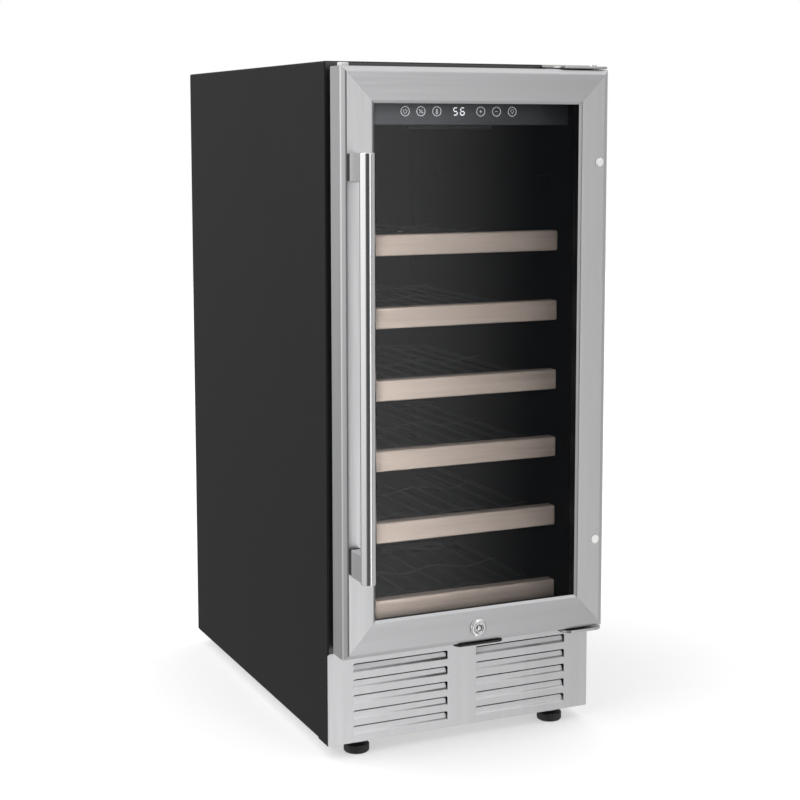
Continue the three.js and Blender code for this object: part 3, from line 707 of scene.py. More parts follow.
def carve(piece, *tools):
    """Cuts the tools' shapes out of the piece."""
    for tool in tools:
        cutter = piece.modifiers.new("cut", "BOOLEAN")
        cutter.operation = "DIFFERENCE"
        cutter.solver = "EXACT"
        cutter.object = tool
        apply_modifiers(piece)
        bpy.data.objects.remove(tool)
    return piece


def rod(name, centre, axis, radius, length, material, steps=40):
    """A plain round tool for cutting, from centre along the axis."""
    profile = [(0, 0), (radius, 0), (radius, length), (0, length)]
    return turned(name, profile, centre, axis, material, steps)


def underside_middle(low, high):
    """The middle of a box's underside."""
    return Vector(((low.x + high.x) / 2, (low.y + high.y) / 2, low.z))


def door_outline():
    """The door's outer rectangle, as (half width, bottom, top) in metres."""
    low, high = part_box("door_frame")
    return high.x, low.z, high.z


def pane_opening():
    """The rectangle of glass that shows, as (half width, bottom, top)."""
    return (
        PANE_HIGH.x - PANE_HIDDEN,
        PANE_LOW.z + PANE_HIDDEN,
        PANE_HIGH.z - PANE_HIDDEN,
    )


def ring_of_members(name, outer, inner, section, upright, across, gap=0.0):
    """A mitred frame of four members. section is a list of (share, inset, y): share 0 measures inset from
    the outer rectangle, share 1 from the inner one. gap is the opening left at each mitre."""
    members = []
    corners = [(-1, 0), (1, 0), (1, 1), (-1, 1)]
    for i in range(4):
        rings = []
        level = corners[i][1] == corners[(i + 1) % 4][1]
        for corner, other in ((corners[i], corners[(i + 1) % 4]), (corners[(i + 1) % 4], corners[i])):
            ring = []
            for share, inset, y in section:
                half, bottom, top = inner if share else outer
                x = corner[0] * (half - inset)
                z = top - inset if corner[1] else bottom + inset
                if level:
                    x += gap / 2 * (1 if other[0] > corner[0] else -1)
                else:
                    z += gap / 2 * (1 if other[1] > corner[1] else -1)
                ring.append((x, y, z))
            rings.append(ring)
        count = len(section)
        faces = [(j, (j + 1) % count, count + (j + 1) % count, count + j) for j in range(count)]
        faces += [tuple(range(count)), tuple(range(count, 2 * count))]
        material = across if level else upright
        members.append(shade(solid(f"{name}_{i}", rings[0] + rings[1], faces, material), 25))
    return members


def rounded_section(points, radii, steps=4):
    """Rounds the corners of a closed section of (share, inset, y) points."""
    section = []
    count = len(points)
    for i, (share, inset, y) in enumerate(points):
        if radii[i] == 0:
            section.append((share, inset, y))
            continue
        arc = round_corner(
            near(points[i - 1], share), (inset, y), near(points[(i + 1) % count], share), radii[i], steps
        )
        section += [(share, a, b) for a, b in arc]
    return section


MEMBER_WIDTH = 43 * MM


def near(point, share):
    """A section point's inset measured from the other rectangle, to find the direction of an edge."""
    other, inset, y = point
    return inset + (other - share) * MEMBER_WIDTH, y


# ------------------------------------------------------------------------------------------ cabinet


def make_cabinet_shell(look):
    """Bent steel wrapper: outer bends of 2.5 mm, and a small notch low at the front of each side."""
    steel = look["black_paint"]
    half, height, depth, sheet = 187.5, 856, 548, 1.2
    shell = cuboid("cabinet_wrapper", (-half, half), (0, depth + 6), (-6, height), 2.5, steel, 4)
    inside = (-half + sheet, half - sheet)
    carve(
        shell,
        cuboid("hollow", inside, (sheet, depth + 9), (-9, height - sheet), 1.3, steel, 3),
        cuboid("rear_trim", (-200, 200), (depth, depth + 20), (-20, height + 20), 0, steel),
        cuboid("bottom_trim", (-200, 200), (-20, depth + 20), (-20, 0), 0, steel),
        cuboid("mouth", (-175, 175), (-5, 5), (-9, 842.5), 0, steel),
        cuboid("kick_recess", (-200, 200), (-5, 1.3), (-9, 120.3), 0, steel),
        cuboid("hem_step", (-200, 200), (34, depth + 20), (-5, 2.2), 0, steel),
    )
    shade(shell, 35)
    # The faces towards the front take the lighter copy of the paint: a painted sheen on the same black
    # paint.
    shell.data.materials.append(look["glossy_black_paint"])
    for face in shell.data.polygons:
        if face.normal.y < -0.9 and face.center.y < FRONT + 1 * MM:
            face.material_index = 1
    mounted(shell, "cabinet_shell")


def screwed_sheet(node_name, cutters, places, screw_name, look):
    """A sheet on the cabinet's back with cut-outs, and with screws sunk into seats at the places."""
    steel = look["black_paint"]
    sheet = block(f"{node_name}_sheet", *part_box(node_name), 0.35 * MM, steel, 2)
    seats = [rod("seat", at(x, 545, z), "y", 4.2 * MM, 6 * MM, steel) for x, z in places]
    carve(sheet, *cutters, *seats)
    mounted(shade(sheet, 30), node_name)
    for x, z in places:
        screw = sunk_screw(f"{screw_name}_{x}_{z}", at(x, 546.1, z), look["zinc_steel"])
        fitted(screw, "cabinet", "zinc_steel")


def sunk_screw(name, seat, material):
    """A pan-head screw that faces backwards, with a crossed recess."""
    radius = 3.0
    head = [(0, 0.62), (0.7, 0.55), (1, 0.2), (1, 0), (0, 0)]
    profile = rounded_profile([(r * radius, h * radius) for r, h in head], radius * 0.25)
    piece = lathed(name, profile, seat, "y", material, 28)
    for wide, tall in ((0.55, 0.11), (0.11, 0.55)):
        low = seat + Vector((-wide, 0.25, -tall)) * radius * MM
        high = seat + Vector((wide, 1, tall)) * radius * MM
        carve(piece, block("recess", low, high, 0, material))
    return shade(piece, 35)


def make_rear(look):
    """Flat rear panel with sunk screws down both sides."""
    places = [(side * 176, z) for side in (-1, 1) for z in (235, 380, 530, 680, 830)]
    screwed_sheet("rear_panel", [], places, "rear_screw", look)


def make_machine_cover(look):
    """Thin cover with pressed slots in front of the compressor, and an opening for the inlet."""
    outlines = [upright_outline((99.5, 150.5), (59.5, 92.5), [2] * 4, 3)]
    for x in (-165, -85):
        for row in range(8):
            z = 45 + 17 * row
            outlines.append(upright_outline((x, x + 68), (z, z + 6), [2.9] * 4, 4))
    cutters = [upright_sheet("slot", outline, (535, 560), 0, look["black_paint"]) for outline in outlines]
    places = [(side * 172, z) for side in (-1, 1) for z in (30, 112, 194)]
    screwed_sheet("machine_cover", cutters, places, "cover_screw", look)


def make_power_inlet(look):
    """Three-pin inlet: a flanged shroud round a recess, with flat metal pins."""
    plastic = look["black_plastic"]
    body = cuboid("inlet_flange", (100, 150), (540.8, 546.3), (60, 92), 1.2, plastic)
    well = cuboid("inlet_well", (105, 145), (516.8, 543.8), (63, 89), 1.5, plastic)
    for part in (body, well):
        carve(part, cuboid("socket", (108, 142), (521.8, 560), (66, 86), 2.5, plastic, 4))
    pins = [
        cuboid(f"pin_{x}", (x - 1, x + 1), (519.8, 537.8), (73, 79), 0.4, look["zinc_steel"], 2)
        for x in (117, 125, 133)
    ]
    mounted(joined("power_inlet_socket", [body, well] + pins), "power_inlet")


def make_machine_bay(look):
    """Rounded versions of the pieces under the deck that the slots and the underside let one see."""
    refined("base_pan", 0.4 * MM, look["zinc_steel"])
    x, y, z = -80, 450, 1.9
    black = look["compressor_black"]
    shell = rounded_profile(
        [(0, 8), (52, 8), (68, 22), (72, 45), (72, 90), (66, 116), (46, 134), (0, 141)], 22, 8
    )
    seam = rounded_profile([(70, 84), (74.5, 84.6), (74.5, 88.4), (70, 89)], 0.8)
    plate = level_outline((x - 92, x + 92), (y - 56, y + 56), [12] * 4)
    parts = [
        lathed("compressor_shell", shell, at(x, y, z), "z", black),
        lathed("compressor_seam", seam, at(x, y, z), "z", black),
        level_sheet("compressor_plate", plate, (z + 6, z + 10), 0.6, black),
    ]
    grommet = rounded_profile(
        [(0, 0), (10, 0), (10, 5), (8, 6), (8, 9), (10, 10), (10, 12), (0, 12)], 0.8
    )
    for sx in (-80, 80):
        for sy in (-44, 44):
            foot = at(x + sx, y + sy, z)
            parts.append(lathed(f"grommet_{sx}_{sy}", grommet, foot, "z", look["rubber"], 32))
    mounted(joined("compressor_unit", parts), "compressor")


def make_kick_plate(look):
    """Brushed plate with two columns of pressed louvres: tongues that lean in from their lower edge."""
    steel = look["stainless"]
    half = KICK_HIGH.x
    outline = rounded_outline(
        (-half, KICK_LOW.z), (half, KICK_HIGH.z), [0.6 * MM, 0.6 * MM, 4 * MM, 4 * MM], 6
    )
    plate = upright_sheet("kick_sheet", outline, (0, 1), 0.25, steel, 2)
    tops = (103.3, 82.6, 62.2, 42, 22)
    height = 11.4
    slots = []
    tongues = []
    for side in (-1, 1):
        x0, x1 = sorted((side * 20.5, side * 152.5))
        for top in tops:
            slot = upright_outline((x0, x1), (top - height, top), [0, 0, 2.2, 2.2], 5)
            slots.append(upright_sheet("slot", slot, (-3, 3), 0, steel))
            tongues.append(make_tongue(f"tongue_{x0}_{top}", x0, x1, top - height, height, steel))
    carve(plate, *slots)
    shade(plate, 30)
    mounted(joined("kick_plate_louvred", [plate] + tongues), "kick_plate")


def tongue_depth(along, climb):
    """How far a tongue lies behind the plate, in millimetres: a bend at its foot, deeper to the right,
    and a lean that eases off to the right. along goes from 0 to 1, and climb is the height on it."""
    foot = 0.4 + 1.8 * along
    lean = math.radians(24 - 9 * along)
    rise = min(climb / 3.0, 1.0)
    return foot * rise * rise * (3 - 2 * rise) + climb * math.tan(lean)


def make_tongue(name, x0, x1, bottom, height, material):
    """One louvre tongue: it turns in from the plate in a bend and has round upper corners."""
    thick = 0.8
    reach = height - 3.0
    corner = 3.0
    end_gap = 0.5
    rows = 15
    columns = 10
    vertices = []
    for back in (0, thick):
        for i in range(rows):
            climb = reach * i / (rows - 1)
            over = max(0.0, climb - (reach - corner))
            pull = end_gap + corner - math.sqrt(corner**2 - over**2)
            for j in range(columns):
                along = j / (columns - 1)
                x = x0 + pull + (x1 - x0 - 2 * pull) * along
                vertices.append(at(x, tongue_depth(along, climb) + 0.05 + back, bottom + climb))
    return grid_sheet(name, vertices, rows, columns, material)


def make_strike(look):
    """Thin black catch under the door with the slot for the lock's cam."""
    plastic = look["black_plastic"]
    outline = level_outline((-29, 39), (-44, 1), [8, 8, 0, 0], 8)
    plate = level_sheet("strike_plate", outline, (120.4, 123.4), 0.8, plastic)
    carve(plate, cuboid("cam_slot", (-6, 28), (-20.5, -13), (115, 130), 1.5, plastic))
    mounted(shade(plate, 35), "lock_strike")


def hinge_leaf(name, left, zs, radius, material):
    """A flat leaf with round front corners and the bore for its pin."""
    outline = level_outline((left, SHELL_HIGH.x / MM), (-44, -0.3), [14, 14, 0, 0], 10)
    leaf = level_sheet(name, outline, zs, radius, material)
    return carve(leaf, rod("bore", at(172.5, -23.5, zs[0] - 10), "z", 4.2 * MM, 40 * MM, material))


def make_hinges(look):
    """Two leaves on the cabinet's right side, with the pins that the door turns on."""
    zinc = look["zinc_steel"]
    mounted(hinge_leaf("hinge_bracket_lower", 128, (117.5, 121.3), 0.9, zinc), "hinge_lower")
    leaf = hinge_leaf("hinge_leaf", 110, (850.2, 853.2), 0.7, zinc)
    tab = cuboid("hinge_tab", (110, 187.5), (-3.3, -0.3), (850.2, 856), 0.6, zinc)
    mounted(joined("hinge_bracket_upper", [leaf, tab]), "hinge_upper")
    pivot = at(172.5, -23.5, 0)
    for name, profile in (
        ("lower", [(0, 116.5), (3.9, 116.5), (3.9, 121.6), (5.6, 121.6), (5.6, 123.6), (3.9, 123.6),
                   (3.9, 140), (3, 141), (0, 141)]),
        ("upper", [(0, 833), (3, 833), (3.9, 834), (3.9, 853.5), (5.4, 853.5), (5, 855.6), (0, 855.6)]),
    ):
        pin_profile = rounded_profile(profile, 0.4)
        pin = lathed(f"hinge_pin_{name}_turned", pin_profile, pivot, "z", look["polished_steel"], 40)
        mounted(pin, f"hinge_pin_{name}")


def make_feet(look):
    """Levelling feet: a ribbed plastic pad, a hexagon to turn it by and a threaded stud."""
    for name in ("front_left", "front_right", "rear_left", "rear_right"):
        low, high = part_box(f"foot_{name}")
        centre = underside_middle(low, high)
        pad_profile = rounded_profile(
            [(0, 0), (14.8, 0), (16.5, 1.7), (16.5, 9.6), (15.4, 11), (9, 13), (0, 13)], 0.9
        )
        pad = lathed("pad", pad_profile, centre, "z", look["black_plastic"], 144)
        for vertex in pad.data.vertices:
            groove_ribs(vertex, centre)
        hexagon = [
            (centre.x + 8.9 * MM * math.cos(turn), centre.y + 8.9 * MM * math.sin(turn))
            for turn in [math.radians(60 * i) for i in range(6)]
        ]
        zinc = look["zinc_steel"]
        collar = prism("collar", hexagon, "z", low.z + 12.5 * MM, low.z + 17.7 * MM, 0.5 * MM, zinc)
        thread = [(0, 17.5)]
        for turn in range(23):
            thread += [(4.1, 17.7 + 1.25 * turn), (4.75, 18.3 + 1.25 * turn)]
        thread += [(4.1, 46.5), (3.4, 47.9), (0, 47.9)]
        stud = lathed("stud", thread, centre, "z", zinc, 32, 20)
        mounted(joined(f"levelling_foot_{name}", [pad, collar, stud]), f"foot_{name}")


def groove_ribs(vertex, centre):
    """Pulls every second pair of points on a foot's rim in, which leaves upright ribs."""
    out = vertex.co - centre
    flat = Vector((out.x, out.y))
    if flat.length < 15 * MM or out.z < 2 * MM or out.z > 10.5 * MM:
        return
    turn = math.atan2(flat.y, flat.x) / (2 * math.pi) * 36
    depth = 0.45 * MM * (0.5 - 0.5 * math.cos(2 * math.pi * turn))
    vertex.co -= Vector((flat.x, flat.y, 0)).normalized() * depth


# ----------------------------------------------------------------------------------- cooled cavity


def cavity_outline(wall):
    """The cavity seen from the side, as (y, z): it steps over the compressor at the back."""
    mouth_low, mouth_high, back, step_y, step_z = 140.5, 832.5, 503, 348, 235
    points = [
        (-6, mouth_low - wall),
        (step_y + wall, mouth_low - wall),
        (step_y + wall, step_z - wall),
        (back + wall, step_z - wall),
        (back + wall, mouth_high + wall),
        (-6, mouth_high + wall),
    ]
    return [(FRONT + y * MM, SHELL_LOW.z + z * MM) for y, z in points]


def make_liner(look):
    """Vacuum-formed liner with rounded corners, a front flange and ledges for the shelves."""
    plastic = look["liner_plastic"]
    reach = 158 * MM
    wide = reach + 2 * MM
    liner = prism("liner_outside", cavity_outline(2), "x", -wide, wide, 9 * MM, plastic, 5)
    flange_outline = upright_outline((-174.7, 174.7), (126, 842.7), [3] * 4, 4)
    flange = upright_sheet("liner_flange", flange_outline, (0, 2), 0.4, plastic, 2)
    for part in (liner, flange):
        carve(part, prism("inside", cavity_outline(0), "x", -reach, reach, 7 * MM, plastic, 5))
    front_trim = cuboid("front_trim", (-300, 300), (-30, 0.6), (0, 900), 0, plastic)
    carve(liner, front_trim, pipe_hole(plastic))
    ledges = []
    tops = [top - 21.5 for top in SHELF_TOPS]
    for level, top in enumerate(tops + [713]):
        rear = 290 if level == len(tops) - 1 else 390
        for y in (60, rear):
            for side in (-1, 1):
                xs = sorted((side * 149.5, side * 158.5))
                name = f"ledge_{level}_{y}_{side}"
                ledges.append(cuboid(name, xs, (y, y + 30), (top - 9, top), 1.4, plastic))
    mounted(joined("cavity_liner", [liner, flange] + ledges), "inner_liner")


SHELF_TOPS = (642.5, 550.5, 458.3, 368, 274.8, 173.8)


def make_shelves(look):
    for number, top in enumerate(SHELF_TOPS, 1):
        make_shelf_front(number, top, look)
        make_shelf_rack(number, look)


def make_shelf_front(number, top, look):
    """Beech slat with rounded edges."""
    name = f"shelf_{number}_slat"
    front = cuboid(name, (-148.5, 148.5), (20, 38), (top - 26.5, top), 2.6, look["beech"], 5)
    mounted(front, f"shelf_front_{number}")


def make_shelf_rack(number, look):
    """Wire rack: a round frame with lengthwise wires, and cross wires bent into cradles for bottles."""
    low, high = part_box(f"shelf_rack_{number}")
    thick = 4.6 * MM
    level = low.z + thick / 2
    upper = high.z - 1.4 * MM
    left, right = low.x + thick / 2, high.x - thick / 2
    front, back = low.y + thick / 2, high.y - thick / 2
    bend = 9 * MM
    frame_wire = rounded_outline((left, front), (right, back), [bend] * 4, 6)
    loop = [(x, y, level) for x, y in frame_wire]
    outer = wires(f"rack_frame_{number}", [loop + [loop[0]]], thick, look["black_wire"], 6)
    lengthwise = []
    for i in range(1, 10):
        x = left + (right - left) * i / 10
        lengthwise.append([(x, front + bend / 3, level), (x, back - bend / 3, level)])
    inner = wires(f"rack_rods_{number}", lengthwise, 3.0 * MM, look["black_wire"], 4)
    cross = []
    span = right - left - 8 * MM
    for share in (0.14, 0.5, 0.86):
        y = front + (back - front) * share
        points = []
        for i in range(61):
            along = i / 60
            wave = 0.5 + 0.5 * math.cos(2 * math.pi * 3 * along)
            points.append((left + 4 * MM + span * along, y, upper - 1.2 * MM + 7 * MM * wave))
        cross.append(points)
    cradles = wires(f"rack_cradles_{number}", cross, 3.0 * MM, look["black_wire"], 4)
    mounted(joined(f"shelf_{number}_wire_rack", [outer, inner, cradles]), f"shelf_rack_{number}")


def pipe_hole(material):
    """The cutter for the hole that the refrigerant pipe passes through."""
    return rod("pipe_hole", at(18, 487, 150), "z", 4.5 * MM, 150 * MM, material)


def make_duct_cover(look):
    """Cover over the evaporator with the fan's round grille, an intake grille and moulded ribs."""
    plastic = look["liner_plastic"]
    cover = cuboid("duct_cover", (-140, 140), (469, 502), (250, 800), 3, plastic, 4)
    tools = [cuboid("duct_hollow", (-138, 138), (471.5, 520), (252, 798), 1.5, plastic)]
    for row, half in enumerate((22, 34, 38, 38, 34, 22)):
        z = 650 + 15 * row
        tools.append(slot_tool((-half, half), (z, z + 8), (465, 473), plastic))
        low = 262 + 9 * row
        tools.append(slot_tool((-100, 100), (low, low + 5), (465, 473), plastic))
    carve(cover, *tools, pipe_hole(plastic))
    ring_profile = rounded_profile([(46, 0.4), (46, -1.6), (50, -1.6), (50, 0.4)], 0.7)
    ring = lathed("grille_ring", ring_profile, at(0, 469, 692), "y", plastic, 72)
    mounted(joined("air_duct_cover_moulding", [cover, ring]), "air_duct_cover")


def slot_tool(xs, zs, ys, material):
    """The cutter for a slot with round ends."""
    outline = upright_outline(xs, zs, [(zs[1] - zs[0]) * 0.49] * 4, 5)
    return upright_sheet("slot", outline, ys, 0, material)


def make_fan(name, centre, size, depth, blade, hub, blades, look):
    """Square fan frame with rounded corners, and a rotor whose blades are twisted and curved."""
    plastic = look["black_plastic"]
    half = size / 2 * MM
    low = (centre.x - half, centre.z - half)
    high = (centre.x + half, centre.z + half)
    outline = rounded_outline(low, high, [6 * MM] * 4, 5)
    frame_body = prism("fan_body", outline, "y", centre.y, centre.y + depth * MM, 0.8 * MM, plastic)
    bore = (blade + 2.5) * MM
    start = centre - Vector((0, 5 * MM, 0))
    carve(frame_body, rod("bore", start, "y", bore, (depth + 10) * MM, plastic, 64))
    motor = lathed("motor", [(0, depth - 5), (hub, depth - 5), (hub, depth), (0, depth)],
                   centre, "y", plastic, 40)
    parts = [frame_body, motor]
    for i in range(3):
        strut_low = (-3 * MM, (depth - 4) * MM, (hub - 1) * MM)
        strut = block("strut", strut_low, (3 * MM, depth * MM, bore + 1 * MM), 0.8 * MM, plastic)
        strut.data.transform(Matrix.Translation(centre) @ Matrix.Rotation(i * 2 * math.pi / 3, 4, "Y"))
        parts.append(strut)
    mounted(joined(f"{name}_frame_moulding", parts), f"{name}_frame")
    low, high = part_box(f"{name}_rotor")
    length = high.y - low.y
    middle = Vector((centre.x, low.y, centre.z))
    hub_radius = (hub - 1) * MM
    rotor_parts = [turned("hub", rounded_profile(
        [(0, 0), (hub_radius, 0), (hub_radius, length), (0, length)], 2 * MM, 5
    ), middle, "y", plastic, 48)]
    for i in range(blades):
        rotor_parts.append(make_blade(i, blades, middle, length, hub_radius, blade * MM, plastic))
    mounted(joined(f"{name}_rotor_moulding", rotor_parts), f"{name}_rotor")


def make_blade(index, blades, middle, length, inner, outer, material):
    """One fan blade: a thin sheet whose pitch eases off towards its tip."""
    rows, columns = 7, 9
    thick = 1.3 * MM
    vertices = []
    for layer in (0, 1):
        for i in range(rows):
            share = i / (rows - 1)
            radius = inner * 0.9 + (outer - inner * 0.9) * share
            sweep = math.radians(34 + 6 * share)
            for j in range(columns):
                across = j / (columns - 1) - 0.5
                angle = 2 * math.pi * index / blades + sweep * across + math.radians(10) * share
                camber = 0.05 * length * (1 - (2 * across) ** 2)
                depth = length * (0.5 + across * (0.72 - 0.25 * share)) + camber + thick * layer
                point = Vector((radius * math.sin(angle), depth, radius * math.cos(angle)))
                vertices.append(middle + point)
    return grid_sheet(f"blade_{index}", vertices, rows, columns, material)


def make_fans(look):
    """The fan that moves the cold air, and the one that cools the condenser."""
    make_fan("evaporator_fan", at(0, 472, 692), 92, 25, 40, 17, 7, look)
    make_fan("condenser_fan", at(90, 110, 58), 100, 30, 44, 18, 5, look)


# ------------------------------------------------------------------------------------ control strip


PANEL_FACE = 12  # millimetres behind the cabinet's front
KEY_HEIGHT = 796.3  # millimetres above the cabinet's underside


def strokes(name, lines, centre, width, material, closed=()):
    """Printed line work on the control strip: each line is a flat ribbon of the given width."""
    vertices = []
    faces = []
    for number, line in enumerate(lines):
        loop = number in closed
        start = len(vertices)
        count = len(line)
        for i, point in enumerate(line):
            before = line[i - 1] if i or loop else point
            after = line[(i + 1) % count] if i < count - 1 or loop else point
            along = Vector((after[0] - before[0], after[1] - before[1])).normalized()
            side = Vector((-along.y, along.x)) * width / 2
            for shift in (side, -side):
                for y in (PANEL_FACE - 0.15, PANEL_FACE - 0.02):
                    vertices.append(at(centre[0] + point[0] + shift.x, y, centre[1] + point[1] + shift.y))
        for i in range(count if loop else count - 1):
            a = start + 4 * i
            b = start + 4 * ((i + 1) % count)
            faces += [(a, a + 2, b + 2, b), (a + 1, b + 1, b + 3, a + 3)]
            faces += [(a, b, b + 1, a + 1), (a + 2, a + 3, b + 3, b + 2)]
        if not loop:
            last = start + 4 * (count - 1)
            faces += [(start, start + 1, start + 3, start + 2), (last, last + 2, last + 3, last + 1)]
    return solid(name, vertices, faces, material)


def arc(radius, start, end, steps, centre=(0, 0)):
    """Points round a circle, clockwise from the top, in degrees."""
    return [
        (
            centre[0] + radius * math.sin(math.radians(start + (end - start) * i / steps)),
            centre[1] + radius * math.cos(math.radians(start + (end - start) * i / steps)),
        )
        for i in range(steps + 1)
    ]


def make_keys(look):
    """Touch keys: a thin ring each, round a plain pictogram."""
    white = look["symbol"]
    pictograms = {
        "power": (-75, [arc(2.4, 40, 320, 18), [(0, 0.6), (0, 3.1)]], 0.42),
        "units": (-53.5, [arc(0.9, 0, 345, 12, (-1.6, 1.5)), [(-1.9, -2.4), (1.9, 2.4)],
                          arc(0.9, 0, 345, 12, (1.6, -1.5))], 0.42),
        "temperature": (-31.5, [[(-0.8, -0.6), (-0.8, 2.4), (0, 3.1), (0.8, 2.4), (0.8, -0.6)],
                                arc(1.3, 40, 320, 16, (0, -1.8)), [(0, -2.6), (0, 0.2)]], 0.45),
        "warmer": (30, [[(-1.9, 0), (1.9, 0)], [(0, -1.9), (0, 1.9)]], 0.55),
        "cooler": (52.5, [[(-1.9, 0), (1.9, 0)]], 0.55),
        "lamp": (75, [arc(1.9, 215, 505, 18, (0, 0.8)), [(-0.8, -1.4), (0.8, -1.4)],
                      [(-0.7, -2.4), (0.7, -2.4)]], 0.45),
    }
    for name, (x, lines, width) in pictograms.items():
        ring = strokes("ring", [arc(5.75, 0, 352.5, 47)], (x, KEY_HEIGHT), 0.62, white, closed=(0,))
        sign = strokes("sign", lines, (x, KEY_HEIGHT), width, white)
        fitted(joined(f"key_{name}", [ring, sign]), "cabinet", "panel_plastic")


SEGMENTS = {
    "a": ((0.12, 1), (0.88, 1)),
    "b": ((1, 0.93), (1, 0.57)),
    "c": ((1, 0.43), (1, 0.07)),
    "d": ((0.12, 0), (0.88, 0)),
    "e": ((0, 0.43), (0, 0.07)),
    "f": ((0, 0.93), (0, 0.57)),
    "g": ((0.12, 0.5), (0.88, 0.5)),
}


def make_display(look):
    """Two seven-segment digits that show the temperature, 56."""
    tall, wide, slant = 9.0, 5.0, 0.06
    for place, (x, lit) in {"tens": (-5.6, "afgcd"), "ones": (4.2, "afgcde")}.items():
        lines = []
        for letter in lit:
            line = []
            for across, up in SEGMENTS[letter]:
                line.append((x + (across - 0.5) * wide + slant * (up - 0.5) * tall, (up - 0.5) * tall))
            lines.append(line)
        digit = strokes(f"digit_{place}", lines, (0, KEY_HEIGHT), 1.25, look["digits"])
        fitted(digit, "cabinet", "panel_plastic")


def make_control_panel(look):
    """The strip behind the top of the glass: a housing, the lamp's lens, touch keys and a display."""
    plastic = look["panel_plastic"]
    housing = block("control_housing", *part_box("control_panel"), 1.2 * MM, plastic)
    carve(housing, cuboid("hollow", (-154, 154), (15, 80), (782, 829), 1, plastic))
    mounted(housing, "control_panel")
    lens = block("light_lens", *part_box("interior_light"), 1.6 * MM, look["smoked_plastic"], 4)
    mounted(lens, "interior_light")
    make_keys(look)
    make_display(look)


# --------------------------------------------------------------------------------------------- door


DOOR_BACK = -10.7  # millimetres, as all depths of the door: minus is in front of the cabinet
DOOR_FRONT = -46.7


def door_ring(name, inner, corners, upright, across, steps=4, gap=0.0):
    """Four members round the door. A corner of their section is (share, inset, y, radius), in millimetres
    but for the share, which ring_of_members explains."""
    points = [(share, inset * MM, FRONT + y * MM) for share, inset, y, _ in corners]
    section = rounded_section(points, [corner[3] * MM for corner in corners], steps)
    return ring_of_members(name, door_outline(), inner, section, upright, across, gap)


def door_hole(name, material, bore=6.0):
    """One of the cutters for the hinge pins, the spare bushing, the lock, its cam and the plugs."""
    if name == "pin":
        return rod(name, at(172.5, -23.5, 100), "z", bore * MM, 800 * MM, material)
    if name == "bushing":
        return rod(name, at(-172.5, -23.5, 831), "z", 6.4 * MM, 30 * MM, material)
    if name == "lock":
        return rod(name, at(0, -60, 144), "y", 9.6 * MM, 52 * MM, material)
    if name == "cam":
        return cuboid(name, (-8, 36), (-19, -12), (120, 152), 0, material)
    height = {"upper_plug": 732.5, "lower_plug": 241.7}[name]
    return rod(name, at(170, -60, height), "y", 4.4 * MM, 26 * MM, material)


def drill_members(members, material, bore):
    """Makes the door's holes in the members of a frame: bottom, right, top and left."""
    bottom, right, top, left = members
    for member, holes in (
        (bottom, ("lock", "cam")),
        (right, ("pin", "upper_plug", "lower_plug")),
        (top, ("bushing",)),
        (left, ("bushing",)),
    ):
        carve(member, *[door_hole(hole, material, bore) for hole in holes])
        shade(member, 25)


def make_door_frame(look):
    """Brushed steel channel in four mitred members, each with its grain along its own length."""
    steel = look["stainless"]
    corners = [
        (0, 0, DOOR_BACK, 0.3),
        (0, 0, -42, 1.6),
        (0, 6, DOOR_FRONT, 1.6),
        (1, -3.5, DOOR_FRONT, 1.0),
        (1, 0, -43.7, 0.3),
        (1, -0.7, -43, 0.1),
        (1, -3.9, DOOR_FRONT + 1.2, 0.3),
        (0, 6.4, DOOR_FRONT + 1.2, 0.6),
        (0, 1.2, -41.4, 0.6),
        (0, 1.2, DOOR_BACK, 0.3),
    ]
    # The top and bottom members take the darker copy of the steel, a painted shade.
    across = look["stainless_across"]
    members = door_ring("door_member", pane_opening(), corners, steel, across, gap=0.16 * MM)
    drill_members(members, steel, 6.0)
    mounted(joined("door_frame_mitred", members), "door_frame")


def make_gasket(look):
    """Magnetic seal: a soft bellows with rounded folds round the back of the door."""
    inset = 11.5
    width = 14
    fold = [
        (0.6, -0.35, 0.9), (0, -2.6, 1.2), (0.3, -5, 1.2),
        (2.6, -6.6, 0.8), (2.0, -8.4, 0.8), (0.8, -10.6, 0.3),
    ]
    corners = [(0, inset + inward, y, radius) for inward, y, radius in fold]
    corners += [(0, inset + width - inward, y, radius) for inward, y, radius in reversed(fold)]
    rubber = look["rubber"]
    members = door_ring("gasket_member", door_outline(), corners, rubber, rubber, 3)
    mounted(joined("door_gasket_bellows", members), "door_gasket")


def make_inner_frame(look):
    """Black moulded frame that holds the glass from behind."""
    corners = [
        (0, 1.5, -11, 1),
        (0, 1.5, -41.1, 0.3),
        (0, 6.7, -45.2, 0.3),
        (1, -13.4, -45.2, 0.3),
        (1, -13.4, -22.6, 0.2),
        (1, -8.6, -22.6, 0.5),
        (1, -8.6, -18, 2),
        (1, -11, -11, 2),
    ]
    plastic = look["black_plastic"]
    members = door_ring("inner_member", pane_opening(), corners, plastic, plastic)
    drill_members(members, plastic, 4.6)
    mounted(joined("door_inner_frame_moulding", members), "door_inner_frame")


def make_panes(look):
    for name, glass in (("outer_glass", "tinted_glass"), ("inner_glass", "clear_glass")):
        mounted(block(f"{name}_pane", *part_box(name), 0.5 * MM, look[glass], 2), name)


def make_spacer(look):
    """Dark spacer bar that keeps the panes apart."""
    corners = [(1, -9, -38.4, 0.8), (1, -3.5, -38.4, 0.8), (1, -3.5, -27.2, 0.8), (1, -9, -27.2, 0.8)]
    black = look["black_plastic"]
    members = door_ring("spacer_member", pane_opening(), corners, black, black)
    mounted(joined("glass_spacer_bar", members), "glass_spacer")


